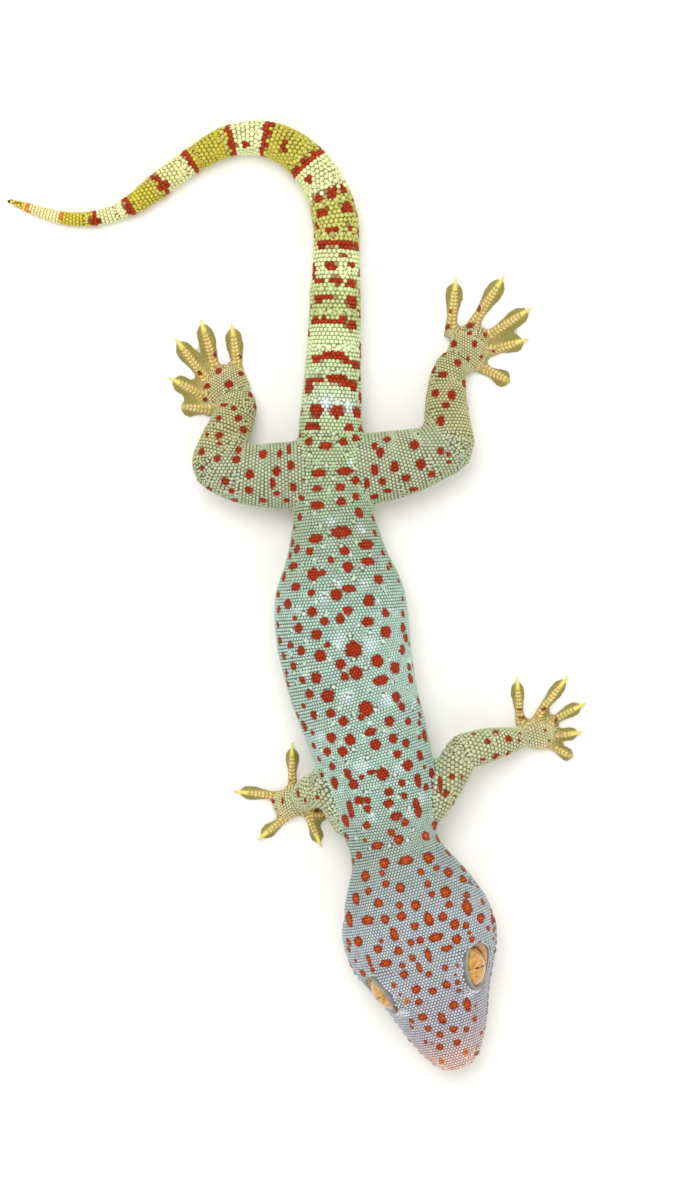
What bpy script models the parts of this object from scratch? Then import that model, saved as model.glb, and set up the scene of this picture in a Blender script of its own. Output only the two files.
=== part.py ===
"""Tokay gecko, life size, lying on its belly with its head to -Y and its tail curled to the left.

Sizes are in millimetres and are turned to metres where a mesh is made. +Z is up, and the floor is z = 0.
The body is one loft along the backbone, cut into head, jaw, neck, torso and tail lengths. A limb is a
chain of rounded lofts, and each piece is trimmed clear of the piece that it grows from.
"""

import math

import bmesh
import bpy
from mathutils import Matrix, Vector

MM = 0.001
GAP = 0.3  # clear space that is kept between touching pieces
CENTRE = (0.495, 0.31)  # middle of the whole outline, which is put over the origin

# The backbone in plan, from the snout back: length and turn (degrees, left is +) of each arc.
SNOUT = (42.6, -123.6)
SNOUT_HEADING = 106.0
BACKBONE = (
    (59.3, 0.0),  # head
    (8.6, -6.5),  # neck
    (27.4, 9.5),  # chest
    (27.3, -15.3),  # trunk
    (25.9, 1.7),  # loin
    (25.3, -8.1),  # pelvis
    (47.3, 1.7),  # root of the tail
    (24.9, 50.0),
    (24.4, 71.5),  # the tail's bend
    (21.6, 9.2),
    (27.0, -57.3),  # the tail's end swings out again
    (12.0, -4.4),
)

# Body sections along the backbone: station, half width, top, height of the widest line, bottom.
# A bottom below 0 is cut flat by the floor, which gives the belly and the tail their resting flats.
SECTIONS = (
    (0.0, 1.6, 9.9, 8.0, 6.4),
    (0.5, 3.3, 10.8, 8.0, 5.4),
    (1.6, 4.9, 11.9, 8.0, 4.6),
    (3.5, 6.4, 13.1, 8.0, 3.8),
    (6.5, 8.2, 14.6, 8.0, 3.2),
    (10.0, 10.0, 16.2, 8.0, 2.8),
    (14.0, 11.6, 18.0, 8.0, 2.5),
    (18.0, 13.0, 19.6, 8.3, 2.3),
    (22.0, 14.8, 20.6, 8.7, 2.1),
    (26.5, 17.0, 21.3, 9.2, 2.0),
    (31.0, 19.0, 22.2, 9.6, 1.9),
    (36.0, 20.0, 23.0, 10.0, 1.8),
    (41.0, 19.9, 23.2, 10.2, 1.8),
    (46.0, 18.2, 22.8, 10.2, 1.8),
    (50.5, 16.2, 22.0, 10.2, 1.9),
    (54.0, 14.3, 21.2, 10.0, 1.9),
    (57.5, 12.5, 20.6, 9.8, 1.8),
    (62.0, 11.7, 20.2, 9.4, 1.4),
    (67.5, 12.4, 20.8, 9.2, 0.6),
    (73.0, 13.4, 21.9, 9.0, -0.2),
    (79.0, 14.6, 23.0, 9.0, -0.8),
    (88.0, 15.5, 24.0, 9.0, -1.1),
    (98.0, 16.2, 24.6, 9.0, -1.2),
    (108.0, 17.0, 24.8, 9.0, -1.2),
    (118.0, 17.6, 24.4, 8.9, -1.2),
    (126.5, 17.3, 23.2, 8.8, -1.2),
    (131.7, 16.0, 22.2, 8.6, -1.0),
    (137.0, 13.6, 21.0, 8.4, -0.6),
    (142.0, 12.1, 20.0, 8.2, 0.0),
    (147.0, 10.9, 19.0, 8.0, 0.6),
    (153.0, 9.6, 18.0, 7.8, 1.1),
    (160.0, 8.9, 17.2, 7.6, 1.4),
    (168.0, 8.5, 16.4, 7.4, 1.2),
    (176.0, 8.1, 15.4, 7.0, 0.5),
    (184.0, 7.5, 14.4, 6.6, -0.2),
    (194.0, 7.1, 13.6, 6.2, -0.5),
    (205.0, 6.7, 12.8, 5.8, -0.5),
    (217.0, 6.2, 12.0, 5.5, -0.5),
    (228.0, 6.0, 11.4, 5.2, -0.5),
    (238.0, 5.5, 10.4, 4.8, -0.5),
    (249.0, 5.1, 9.4, 4.3, -0.5),
    (260.0, 4.4, 8.2, 3.8, -0.4),
    (276.0, 3.5, 6.6, 3.1, -0.4),
    (291.0, 3.2, 5.8, 2.7, -0.3),
    (299.0, 2.5, 4.8, 2.3, -0.3),
    (307.0, 2.05, 4.0, 1.9, -0.3),
    (315.0, 1.8, 3.5, 1.6, -0.2),
    (323.0, 1.5, 2.9, 1.3, -0.2),
    (329.0, 0.9, 2.0, 0.9, -0.1),
    (331.0, 0.4, 1.2, 0.6, 0.0),
)
ROUND_TOP = 2.1  # powers of the superellipse above and below the widest line
ROUND_BELLY = 2.7

# Where the body is parted, in mm along the backbone.
HEAD_END = 57.5
NECK_END = 66.0
TORSO_END = 169.0
TAIL_CUTS = (194.0, 221.0, 248.0, 275.0, 301.0)
TAIL_TIP = 331.0

# The head is carried rolled, its left eye turned up.
HEAD_ROLL = 8.0
ROLL_HEIGHT = 11.0
ROLL_FADES = (54.0, 76.0)


def smooth(table, x, column):
    """A column of a table at x, through its points on a smooth curve."""
    count = len(table)
    i = max(0, min(count - 2, sum(row[0] <= x for row in table) - 1))
    x0, x1 = table[i][0], table[i + 1][0]

    def slope(k):
        low, high = max(0, k - 1), min(count - 1, k + 1)
        return (table[high][column] - table[low][column]) / (table[high][0] - table[low][0])

    t = max(0.0, min(1.0, (x - x0) / (x1 - x0)))
    step = x1 - x0
    return (
        (2 * t**3 - 3 * t**2 + 1) * table[i][column]
        + (t**3 - 2 * t**2 + t) * step * slope(i)
        + (3 * t**2 - 2 * t**3) * table[i + 1][column]
        + (t**3 - t**2) * step * slope(i + 1)
    )


def ease(low, high, x):
    """0 below low, 1 above high, smooth between."""
    t = max(0.0, min(1.0, (x - low) / (high - low)))
    return t * t * (3 - 2 * t)


def hump(centre, width, x):
    """A smooth bump, 1 at centre and nearly 0 two widths away."""
    return math.exp(-(((x - centre) / width) ** 2))


def backbone(station):
    """The plan point and the heading (radians, tailwards) at a station."""
    x, y = SNOUT
    heading = math.radians(SNOUT_HEADING)
    left = station
    for length, turn in BACKBONE:
        run = left if (length, turn) == BACKBONE[-1] else min(left, length)
        bend = math.radians(turn) * run / length
        chord = run if abs(bend) < 1e-9 else run * math.sin(bend / 2) / (bend / 2)
        x += chord * math.cos(heading + bend / 2)
        y += chord * math.sin(heading + bend / 2)
        heading += bend
        left -= run
        if left <= 0:
            break
    return Vector((x, y, 0.0)), heading


def body_frame(station):
    """Turns (along, right, up) at a station into the model's space, with the head's roll."""
    point, heading = backbone(station)
    roll = math.radians(HEAD_ROLL) * (1 - ease(*ROLL_FADES, station))
    lift = Matrix.Translation((0, 0, ROLL_HEIGHT))
    roll_about = lift @ Matrix.Rotation(-roll, 4, "X") @ lift.inverted()
    return Matrix.Translation(point) @ Matrix.Rotation(heading, 4, "Z") @ roll_about


def rounded(value, power):
    return math.copysign(abs(value) ** (2 / power), value)


# Relief of the head that its sections don't hold: station, width along, side, width across, height.
BROW = (23.5, 6.0, 8.6, 3.0, 1.5)
FRONTAL_FURROW = (15.0, 8.0, 0.0, 3.4, -1.1)
SNOUT_SHOULDER = (11.0, 5.0, 4.6, 2.6, 0.5)
NAPE_FURROW = (42.0, 9.0, 0.0, 5.0, -0.7)
HEAD_RELIEF = (BROW, FRONTAL_FURROW, SNOUT_SHOULDER, NAPE_FURROW)
LIP_SWELL = 0.45
LIP_HEIGHT = 1.8
LIP_ENDS = 38.0


def body_point(station, angle, grow=0.0):
    """A point of the body's surface. angle 0 is the body's left, and 90 degrees is the top."""
    half_width, top, widest, bottom = (smooth(SECTIONS, station, c) for c in (1, 2, 3, 4))
    across = (half_width + grow) * rounded(math.cos(angle), ROUND_TOP)
    rise = math.sin(angle)
    if rise >= 0:
        up = widest + (top - widest + grow) * rounded(rise, ROUND_TOP)
        for along, length, side, width, height in HEAD_RELIEF:
            up += height * hump(along, length, station) * hump(side, width, abs(across)) * rise
    else:
        up = widest + (widest - bottom + grow) * rounded(rise, ROUND_BELLY)
        across = (half_width + grow) * rounded(math.cos(angle), ROUND_BELLY)
    if station < LIP_ENDS:
        swell = LIP_SWELL * ease(0, 4, station) * hump(mouth_height(station), LIP_HEIGHT, up)
        across += math.copysign(swell, across)
    point = body_frame(station) @ Vector((0, -across, up))
    point.z = max(point.z, -grow)
    return point


def mouth_height(station):
    """Height of the mouth line, which dips under the eye and climbs at the corner."""
    return 7.3 - 0.5 * hump(17, 8, station) + 1.6 * ease(26, 40, station)


def mesh_object(name, bm):
    """Turns a bmesh in millimetres into an object in metres."""
    bmesh.ops.scale(bm, vec=(MM, MM, MM), verts=bm.verts)
    mesh = bpy.data.meshes.new(name)
    bm.to_mesh(mesh)
    bm.free()
    obj = bpy.data.objects.new(name, mesh)
    bpy.context.scene.collection.objects.link(obj)
    return obj


def finish(obj, material):
    """Moves a finished piece over the origin, gives it its material and files it with the others."""
    obj.data.transform(Matrix.Translation((-CENTRE[0] * MM, -CENTRE[1] * MM, 0)))
    obj.data.materials.clear()
    obj.data.materials.append(material)
    obj.data.shade_smooth()
    obj.data.set_sharp_from_angle(angle=math.radians(50))
    for held in list(obj.users_collection):
        held.objects.unlink(obj)
    bpy.data.collections["tokay gecko"].objects.link(obj)
    return obj


def loft(name, rings):
    """A closed surface through rings of like point counts, with flat ends."""
    bm = bmesh.new()
    made = [[bm.verts.new(p) for p in ring] for ring in rings]
    count = len(rings[0])
    for near, far in zip(made, made[1:]):
        for k in range(count):
            bm.faces.new((near[k], near[(k + 1) % count], far[(k + 1) % count], far[k]))
    bm.faces.new(made[0][::-1])
    bm.faces.new(made[-1])
    bmesh.ops.recalc_face_normals(bm, faces=bm.faces)
    bm.normal_update()
    return bm


def spaced(start, end, pitch):
    """Stations from start to end, both included, about a pitch apart."""
    count = max(1, round((end - start) / pitch))
    return [start + (end - start) * k / count for k in range(count + 1)]


def body_rings(stations, sides, grow=0.0):
    turn = 2 * math.pi / sides
    return [[body_point(s, turn * (k + 0.5), grow) for k in range(sides)] for s in stations]


def raise_tubercles(bm, chosen, size, height):
    """Draws a blunt cone out of each chosen face, about size across at its foot."""
    for face in chosen:
        reach = min(edge.calc_length() for edge in face.edges)
        margin = max(0.05, (reach - size) / 2)
        bmesh.ops.inset_individual(bm, faces=[face], thickness=margin)
        bmesh.ops.inset_individual(bm, faces=[face], thickness=size * 0.3, depth=height)


def boolean(target, others, operation):
    """Applies one Boolean of the target with all the others, then removes them."""
    tools = bpy.data.collections.new("tools")
    bpy.context.scene.collection.children.link(tools)
    for other in others:
        for held in list(other.users_collection):
            held.objects.unlink(other)
        tools.objects.link(other)
    modifier = target.modifiers.new(operation.lower(), "BOOLEAN")
    modifier.operation = operation
    modifier.operand_type = "COLLECTION"
    modifier.collection = tools
    modifier.solver = "EXACT"
    graph = bpy.context.evaluated_depsgraph_get()
    made = bpy.data.meshes.new_from_object(target.evaluated_get(graph))
    target.modifiers.clear()
    target.data = made
    for other in list(tools.objects):
        bpy.data.objects.remove(other)
    bpy.data.collections.remove(tools)
    keep_largest(target)
    return target


WELD = 5e-6  # metres
LEVEL = math.radians(0.5)  # faces nearer in one plane than this are made one


def keep_largest(obj):
    """Leaves only the closed surface that holds the most, and clears stray tiny edges."""
    bm = bmesh.new()
    bm.from_mesh(obj.data)
    bmesh.ops.triangulate(bm, faces=bm.faces)
    bmesh.ops.remove_doubles(bm, verts=bm.verts, dist=WELD)
    bmesh.ops.dissolve_degenerate(bm, dist=WELD, edges=bm.edges)
    bmesh.ops.dissolve_limit(bm, angle_limit=LEVEL, verts=bm.verts, edges=bm.edges)
    bmesh.ops.triangulate(bm, faces=bm.faces)
    left, shells = set(bm.faces), []
    while left:
        stack, shell = [left.pop()], []
        while stack:
            face = stack.pop()
            shell.append(face)
            for edge in face.edges:
                for other in edge.link_faces:
                    if other in left:
                        left.discard(other)
                        stack.append(other)
        shells.append(shell)

    def volume(shell):
        return abs(sum(f.verts[0].co.dot(f.verts[1].co.cross(f.verts[2].co)) for f in shell))

    shells.sort(key=volume)
    scraps = [face for shell in shells[:-1] for face in shell]
    bmesh.ops.delete(bm, geom=scraps, context="FACES")
    loose = [v for v in bm.verts if not v.link_faces]
    bmesh.ops.delete(bm, geom=loose, context="VERTS")
    bm.to_mesh(obj.data)
    bm.free()


def body_core():
    """Neck, torso and first tail length in one, grown by the gap, to trim what grows from them."""
    stations = spaced(HEAD_END + GAP / 2, NECK_END - GAP / 2, NECK_PITCH)
    stations += spaced(NECK_END + GAP / 2, TORSO_END - GAP / 2, TORSO_PITCH)
    stations += spaced(TORSO_END + GAP / 2, TAIL_CUTS[0] - GAP / 2, TAIL_PITCH)
    return mesh_object("core", loft("core", body_rings(stations, TORSO_SIDES, GAP)))


# Eyes: the ball, its place in the head's frame, and the lid fold round the opening.
EYE_RADIUS = 6.4
EYE_STATION = 26.5
EYE_SIDE = 8.8
EYE_HEIGHT = 15.4
EYE_TILT = 20.0  # how far the eye looks up
EYE_FORWARD = {-1: 8.0, 1: 20.0}  # and forward, left and right
EYE_OPENING = 5.2
MOUND = (7.2, 7.7, 7.4)  # the eye's bulge: out, along and up
LID_RING = 5.8
LID_OUT = 4.5
LID_THICK = 0.75
OPENING_FROM = 2.0  # the opening's rod, from just behind the lid ring to well clear of the bulge
OPENING_TO = 12.0
EYE_FACETS = (16, 12)  # faces round and along the eye, its bulge and its socket


def head_place(station, side, height):
    """A point of the head, side + to its right, in metres."""
    return body_frame(station) @ Vector((0, side, height)) * MM


def eye_matrix(side):
    """Places the right (1) or left (-1) eye, with local +X looking out of the head."""
    frame = body_frame(EYE_STATION)
    local = Matrix.Translation((0, side * EYE_SIDE, EYE_HEIGHT))
    out = Matrix.Rotation(math.radians(side * (90 + EYE_FORWARD[side])), 4, "Z")
    up = Matrix.Rotation(math.radians(-EYE_TILT), 4, "Y")
    placed = frame @ local @ out @ up
    placed.translation *= MM
    return placed


def ball(name, matrix, radii, segments, rings):
    """A UV sphere with three radii in mm."""
    bpy.ops.mesh.primitive_uv_sphere_add(segments=segments, ring_count=rings, radius=1)
    obj = bpy.context.object
    obj.name = name
    obj.data.transform(matrix @ Matrix.Diagonal((*(r * MM for r in radii), 1)))
    return obj


def lid_ring(side):
    """The fold of skin that rims the eye."""
    bpy.ops.mesh.primitive_torus_add(
        major_segments=18, minor_segments=6, major_radius=LID_RING * MM, minor_radius=LID_THICK * MM
    )
    obj = bpy.context.object
    stand = Matrix.Translation((LID_OUT * MM, 0, 0)) @ Matrix.Rotation(math.pi / 2, 4, "Y")
    obj.data.transform(eye_matrix(side) @ stand)
    return obj


def eye_opening(side):
    """A short rod that opens the bulge over the front of the eye."""
    depth = (OPENING_TO - OPENING_FROM) * MM
    bpy.ops.mesh.primitive_cylinder_add(vertices=18, radius=EYE_OPENING * MM, depth=depth)
    obj = bpy.context.object
    middle = (OPENING_TO + OPENING_FROM) / 2 * MM
    stand = Matrix.Translation((middle, 0, 0)) @ Matrix.Rotation(math.pi / 2, 4, "Y")
    obj.data.transform(eye_matrix(side) @ stand)
    return obj


# The ear is an upright slit behind the jaw's corner, and the nostrils open beside the snout's tip.
EAR = {"station": 46.5, "height": 12.2, "radii": (1.2, 2.4, 2.6), "lean": 12.0}
NOSTRIL = {"station": 3.1, "height": 11.4, "side": 3.9, "radius": 0.75}


def surface_at(station, side, height):
    """How far out the body's side is at that height."""
    low, high = 0.0, math.pi / 2
    if height < smooth(SECTIONS, station, 3):
        low, high = -math.pi / 2, 0.0
    frame = body_frame(station).inverted()
    for _ in range(30):
        middle = (low + high) / 2
        if (frame @ body_point(station, middle)).z < height:
            low = middle
        else:
            high = middle
    return side * abs((frame @ body_point(station, low)).y)


def ear_cutter(side):
    out = surface_at(EAR["station"], side, EAR["height"])
    frame = body_frame(EAR["station"])
    frame = frame @ Matrix.Translation((0, out, EAR["height"]))
    frame = frame @ Matrix.Rotation(math.radians(EAR["lean"]), 4, "Y")
    frame.translation *= MM
    return ball("ear cut", frame, EAR["radii"], 10, 6)


def nostril_cutter(side):
    radius = NOSTRIL["radius"]
    place = head_place(NOSTRIL["station"], side * NOSTRIL["side"], NOSTRIL["height"])
    return ball("nostril cut", Matrix.Translation(place), (radius,) * 3, 8, 5)


# The slab that parts the jaw from the head.
JAW_START = -3.0
JAW_END = 41.0
JAW_PITCH = 4.0
JAW_REACH = 26.0
JAW_FLOOR = -6.0


def jaw_block(grow):
    """Everything below the mouth line and ahead of the jaw's corner, as a slab across the head."""
    stations = spaced(JAW_START, JAW_END, JAW_PITCH)
    stations[-1] += grow
    bm = bmesh.new()
    sides = []
    for side in (-JAW_REACH, JAW_REACH):
        outline = [Vector((s, side, mouth_height(s) + grow)) for s in stations]
        outline += [Vector((s, side, JAW_FLOOR)) for s in reversed(stations)]
        sides.append([bm.verts.new(body_frame(0) @ p) for p in outline])
    count = len(sides[0])
    for k in range(count):
        nearer, further = k, (k + 1) % count
        bm.faces.new((sides[0][nearer], sides[0][further], sides[1][further], sides[1][nearer]))
    half = len(stations)
    for row in sides:
        for k in range(half - 1):
            bm.faces.new((row[k], row[k + 1], row[count - 2 - k], row[count - 1 - k]))
    bmesh.ops.recalc_face_normals(bm, faces=bm.faces)
    return mesh_object("jaw block", bm)


HEAD_SIDES = 28
HEAD_STATIONS = (0.0, 0.5, 1.6, 3.5, 6.2, 9.0, 12.0, 15.0, 18.0, 21.0, 24.0, 27.0, 30.0, 34.0, 38.0)
HEAD_STATIONS += (42.0, 46.0, 50.0, 54.0, HEAD_END - GAP / 2)


def make_head(skin):
    bm = loft("head", body_rings(HEAD_STATIONS, HEAD_SIDES))
    head = mesh_object("head", bm)
    jaw = head.copy()
    jaw.data = head.data.copy()
    jaw.name = "jaw"
    bpy.context.scene.collection.objects.link(jaw)
    boolean(jaw, [jaw_block(0.0)], "INTERSECT")
    mounds = [ball("mound", eye_matrix(side), MOUND, *EYE_FACETS) for side in (-1, 1)]
    boolean(head, mounds, "UNION")
    boolean(head, [eye_opening(side) for side in (-1, 1)], "DIFFERENCE")
    boolean(head, [lid_ring(side) for side in (-1, 1)], "UNION")
    cutters = [jaw_block(GAP)]
    for side in (-1, 1):
        cutters.append(ball("socket", eye_matrix(side), (EYE_RADIUS + GAP,) * 3, *EYE_FACETS))
        cutters += [ear_cutter(side), nostril_cutter(side)]
    boolean(head, cutters, "DIFFERENCE")
    finish(head, skin)
    finish(jaw, skin)


def make_eyes(material):
    for side, name in ((-1, "eye_left"), (1, "eye_right")):
        finish(ball(name, eye_matrix(side), (EYE_RADIUS,) * 3, *EYE_FACETS), material)


def body_length(name, start, end, pitch, sides, material, tubercles=None):
    """One length of the body, with a half gap left at each end and staggered rows of tubercles."""
    stations = spaced(start + GAP / 2, end - GAP / 2, pitch)
    bm = loft(name, body_rings(stations, sides))
    if tubercles:
        every, rows, size, height = tubercles
        bm.faces.ensure_lookup_table()
        chosen = []
        for i in range(1, len(stations) - 2, every):
            shift = (i // every) % 2
            free = FLANK[0] < stations[i] < FLANK[1] or end > TORSO_END
            chosen += [bm.faces[i * sides + k + shift] for k in (rows if free else rows[2:-2])]
        raise_tubercles(bm, chosen, size, height)
    return finish(mesh_object(name, bm), material)


# The lofts' faces round the body and along it, and their tubercles: every so many rings, on these
# faces of the ring, so wide at the foot and so high.
TORSO_SIDES = 30
TORSO_PITCH = 3.2
TORSO_TUBERCLES = (2, (2, 4, 6, 8, 10, 12), 1.5, 0.6)
FLANK = (84.0, 138.0)  # outside it a limb takes up the flank, and only the middle rows are left
NECK_PITCH = 3.0
TAIL_SIDES = 18
TAIL_PITCH = 3.6
TAIL_TUBERCLES = (2, (1, 3, 5, 7), 1.1, 0.45)
TIP_SIDES = 12
TIP_PITCH = 3.0


def make_trunk(skin, tail_skin):
    body_length("neck", HEAD_END, NECK_END, NECK_PITCH, TORSO_SIDES, skin)
    body_length("torso", NECK_END, TORSO_END, TORSO_PITCH, TORSO_SIDES, skin, TORSO_TUBERCLES)
    start = TORSO_END
    for number, end in enumerate(TAIL_CUTS, 1):
        sides = TORSO_SIDES if number == 1 else TAIL_SIDES
        body_length(f"tail_{number}", start, end, TAIL_PITCH, sides, tail_skin, TAIL_TUBERCLES)
        start = end
    body_length("tail_6", start, TAIL_TIP, TIP_PITCH, TIP_SIDES, tail_skin)


# Limbs: each piece's stations are x, y, z, half width in plan and half height, from the body out.
UPPER_ARM_LEFT = (
    (32.0, -58.0, 10.0, 5.4, 5.2),
    (38.2, -50.6, 11.2, 5.0, 4.8),
    (43.2, -41.8, 11.5, 4.8, 4.6),
)
FOREARM_LEFT = (
    (43.8, -40.8, 11.2, 4.9, 4.6),
    (51.0, -39.0, 8.0, 4.6, 4.2),
    (59.0, -37.6, 4.0, 3.2, 2.9),
)
UPPER_ARM_RIGHT = (
    (15.4, -58.0, 9.5, 6.2, 5.0),
    (11.0, -52.5, 12.0, 5.0, 4.8),
    (8.0, -49.5, 12.8, 4.9, 4.6),
)
FOREARM_RIGHT = (
    (7.4, -49.6, 12.0, 4.8, 4.6),
    (4.0, -51.5, 8.0, 4.4, 4.2),
    (2.0, -53.6, 4.2, 3.3, 3.0),
)
THIGH_LEFT = (
    (14.0, 32.2, 8.8, 9.6, 7.0),
    (27.0, 34.0, 9.4, 9.2, 6.8),
    (34.0, 36.0, 9.6, 7.9, 6.4),
    (40.6, 38.4, 9.4, 6.9, 6.0),
)
SHANK_LEFT = (
    (40.6, 38.8, 9.2, 6.8, 5.8),
    (39.8, 46.0, 7.6, 6.2, 5.0),
    (39.9, 55.5, 4.8, 5.1, 3.9),
    (41.6, 60.5, 3.8, 4.6, 3.3),
)
THIGH_RIGHT = (
    (5.0, 31.4, 8.8, 9.4, 7.0),
    (-8.0, 31.0, 9.4, 8.6, 6.8),
    (-15.0, 31.6, 9.6, 7.5, 6.4),
    (-20.2, 33.4, 9.4, 6.7, 6.0),
)
SHANK_RIGHT = (
    (-20.6, 34.0, 9.2, 6.5, 5.8),
    (-17.6, 42.0, 7.6, 6.1, 5.0),
    (-14.6, 48.6, 4.8, 5.2, 3.9),
    (-14.6, 51.0, 4.2, 4.6, 3.4),
)
LIMB_SIDES = 14
LIMB_RINGS = 5
DOME = (0.55, 0.9)  # shares of the half height that a limb's rounded ends reach


def along(stations, t):
    """A limb's station at t, from 0 to 1, on a smooth curve through them."""
    table = [(k / (len(stations) - 1), *row) for k, row in enumerate(stations)]
    return [smooth(table, t, column) for column in range(1, 6)]


def oval_ring(place, direction, half_width, half_height):
    """An upright oval across a direction in the model's space."""
    level = Vector((0, 0, 1)).cross(direction).normalized()
    up = direction.cross(level).normalized()
    ring = []
    for k in range(LIMB_SIDES):
        angle = 2 * math.pi * (k + 0.5) / LIMB_SIDES
        offset = level * math.cos(angle) * half_width + up * math.sin(angle) * half_height
        ring.append(Vector(place) + offset)
    return ring


def limb_piece(name, stations, grow=0.0):
    """A rounded, closed piece of limb through its stations."""
    rows = [along(stations, k / (LIMB_RINGS - 1)) for k in range(LIMB_RINGS)]
    points = [Vector(row[:3]) for row in rows]
    tangents = [
        (points[min(k + 1, LIMB_RINGS - 1)] - points[max(k - 1, 0)]).normalized()
        for k in range(LIMB_RINGS)
    ]

    def dome(end, sign, share):
        """One ring of a rounded end."""
        half_width, half_height = rows[end][3] + grow, rows[end][4] + grow
        shrink = math.sqrt(1 - share**2)
        centre = points[end] + tangents[end] * sign * share * half_height
        return oval_ring(centre, tangents[end], half_width * shrink, half_height * shrink)

    rings = [dome(0, -1, share) for share in reversed(DOME)]
    for point, tangent, row in zip(points, tangents, rows):
        rings.append(oval_ring(point, tangent, row[3] + grow, row[4] + grow))
    rings += [dome(LIMB_RINGS - 1, 1, share) for share in DOME]
    for ring in rings:
        for point in ring:
            point.z = max(point.z, -grow)
    return mesh_object(name, loft(name, rings))


# Palms and soles: centre, heading of the middle toe, half length, half width, height.
PALMS = {
    "hand_left": ((64.6, -37.0), 25.0, 5.6, 4.3, 4.2),
    "hand_right": ((-0.6, -54.4), 190.0, 5.4, 4.2, 4.2),
    "foot_left": ((45.4, 64.6), 62.0, 7.2, 5.2, 4.6),
    "foot_right": ((-17.3, 54.4), 118.0, 6.4, 5.9, 4.6),
}
PALM_SIDES = 12
PALM_SHARES = (-0.96, -0.75, -0.35, 0.1, 0.5, 0.82, 0.97)


def palm(name, shape, grow=0.0):
    """A low dome with a flat sole."""
    (x, y), heading, half_length, half_width, height = shape
    facing = Matrix.Translation((x, y, 0)) @ Matrix.Rotation(math.radians(heading), 4, "Z")
    rings = []
    for share in PALM_SHARES:
        shrink = math.sqrt(1 - share**2) ** 0.8
        ring = []
        for k in range(PALM_SIDES):
            angle = 2 * math.pi * (k + 0.5) / PALM_SIDES
            across = (half_width * shrink + grow) * math.cos(angle)
            up = height * 0.4 + (height * 0.6 * shrink**0.6 + grow) * math.sin(angle)
            ring.append(facing @ Vector((share * (half_length + grow), across, max(up, -grow))))
        rings.append(ring)
    return mesh_object(name, loft(name, rings))


# Toes: root and tip of each pad in plan, first (clawless) toe first.
TOES = {
    "hand_left": (
        ((67.0, -39.8), (73.3, -42.6)),
        ((66.4, -37.4), (74.6, -36.2)),
        ((66.0, -34.0), (75.4, -29.0)),
        ((62.9, -32.9), (71.1, -22.5)),
        ((59.4, -34.4), (58.6, -22.8)),
    ),
    "hand_right": (
        ((4.0, -56.6), (8.8, -58.4)),
        ((3.4, -57.4), (6.6, -65.0)),
        ((-1.1, -57.6), (-8.7, -63.6)),
        ((-2.4, -53.0), (-14.4, -51.8)),
        ((-0.6, -50.0), (-0.6, -40.4)),
    ),
    "foot_left": (
        ((49.2, 60.0), (56.7, 56.2)),
        ((50.9, 64.1), (60.2, 67.0)),
        ((49.8, 67.4), (61.3, 74.9)),
        ((46.4, 70.4), (54.5, 82.9)),
        ((41.1, 69.6), (42.4, 82.2)),
    ),
    "foot_right": (
        ((-21.3, 48.6), (-29.9, 49.7)),
        ((-22.7, 51.7), (-31.9, 56.7)),
        ((-22.2, 55.3), (-30.6, 66.6)),
        ((-20.0, 56.8), (-24.3, 71.3)),
        ((-14.5, 56.4), (-16.4, 70.3)),
    ),
}
# A toe's sections: share of the pad's length, half width, ridge height, pad height, ridge's share
# of the width. The hind toes' pads are broader than the fore toes'.
TOE_SHAPE = (
    (-0.15, 1.7, 2.5, 1.9, 0.5),
    (0.4, 1.9, 2.4, 1.4, 0.45),
    (0.68, 2.3, 2.3, 1.1, 0.35),
    (0.9, 2.35, 2.2, 1.0, 0.3),
    (1.0, 1.5, 2.0, 0.9, 0.35),
)
PAD_BREADTH = {"hand": 0.9, "foot": 1.15}
# A claw's sections: mm beyond the pad, half width, top, bottom.
CLAW = ((0.2, 0.5, 2.0, 0.8), (0.9, 0.32, 1.7, 0.7), (1.5, 0.12, 1.0, 0.6))
BLUNT = ((0.3, 0.6, 1.1, 0.3),)


def toe(name, root, tip, breadth, clawed, grow=0.0):
    """A paddle-shaped pad with a raised ridge along it, and a claw that the ridge ends in."""
    root, tip = Vector(root), Vector(tip)
    run = tip - root
    facing = Matrix.Translation((*root, 0)) @ Matrix.Rotation(math.atan2(run.y, run.x), 4, "Z")
    rings = []
    for share, half_width, ridge, pad, narrow in TOE_SHAPE:
        inner = half_width * narrow + grow
        half_width, ridge, pad = half_width * breadth + grow, ridge + grow, pad + grow
        outline = (
            (-half_width * 0.85, -grow),
            (half_width * 0.85, -grow),
            (half_width, pad * 0.5),
            (inner * 1.5, pad),
            (inner * 0.6, ridge),
            (-inner * 0.6, ridge),
            (-inner * 1.5, pad),
            (-half_width, pad * 0.5),
        )
        rings.append([facing @ Vector((share * run.length, y, z)) for y, z in outline])
    for beyond, half_width, high, low in CLAW if clawed else BLUNT:
        middle = (high + low) / 2
        shoulder = high * 0.7 + middle * 0.3
        outline = (
            (-half_width * 0.6, low),
            (half_width * 0.6, low),
            (half_width, middle),
            (half_width * 0.8, shoulder),
            (half_width * 0.4, high),
            (-half_width * 0.4, high),
            (-half_width * 0.8, shoulder),
            (-half_width, middle),
        )
        rings.append([facing @ Vector((run.length + beyond, y, z)) for y, z in outline])
    return mesh_object(name, loft(name, rings))


def trimmed(obj, cutters):
    boolean(obj, cutters, "DIFFERENCE")
    return obj


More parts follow.
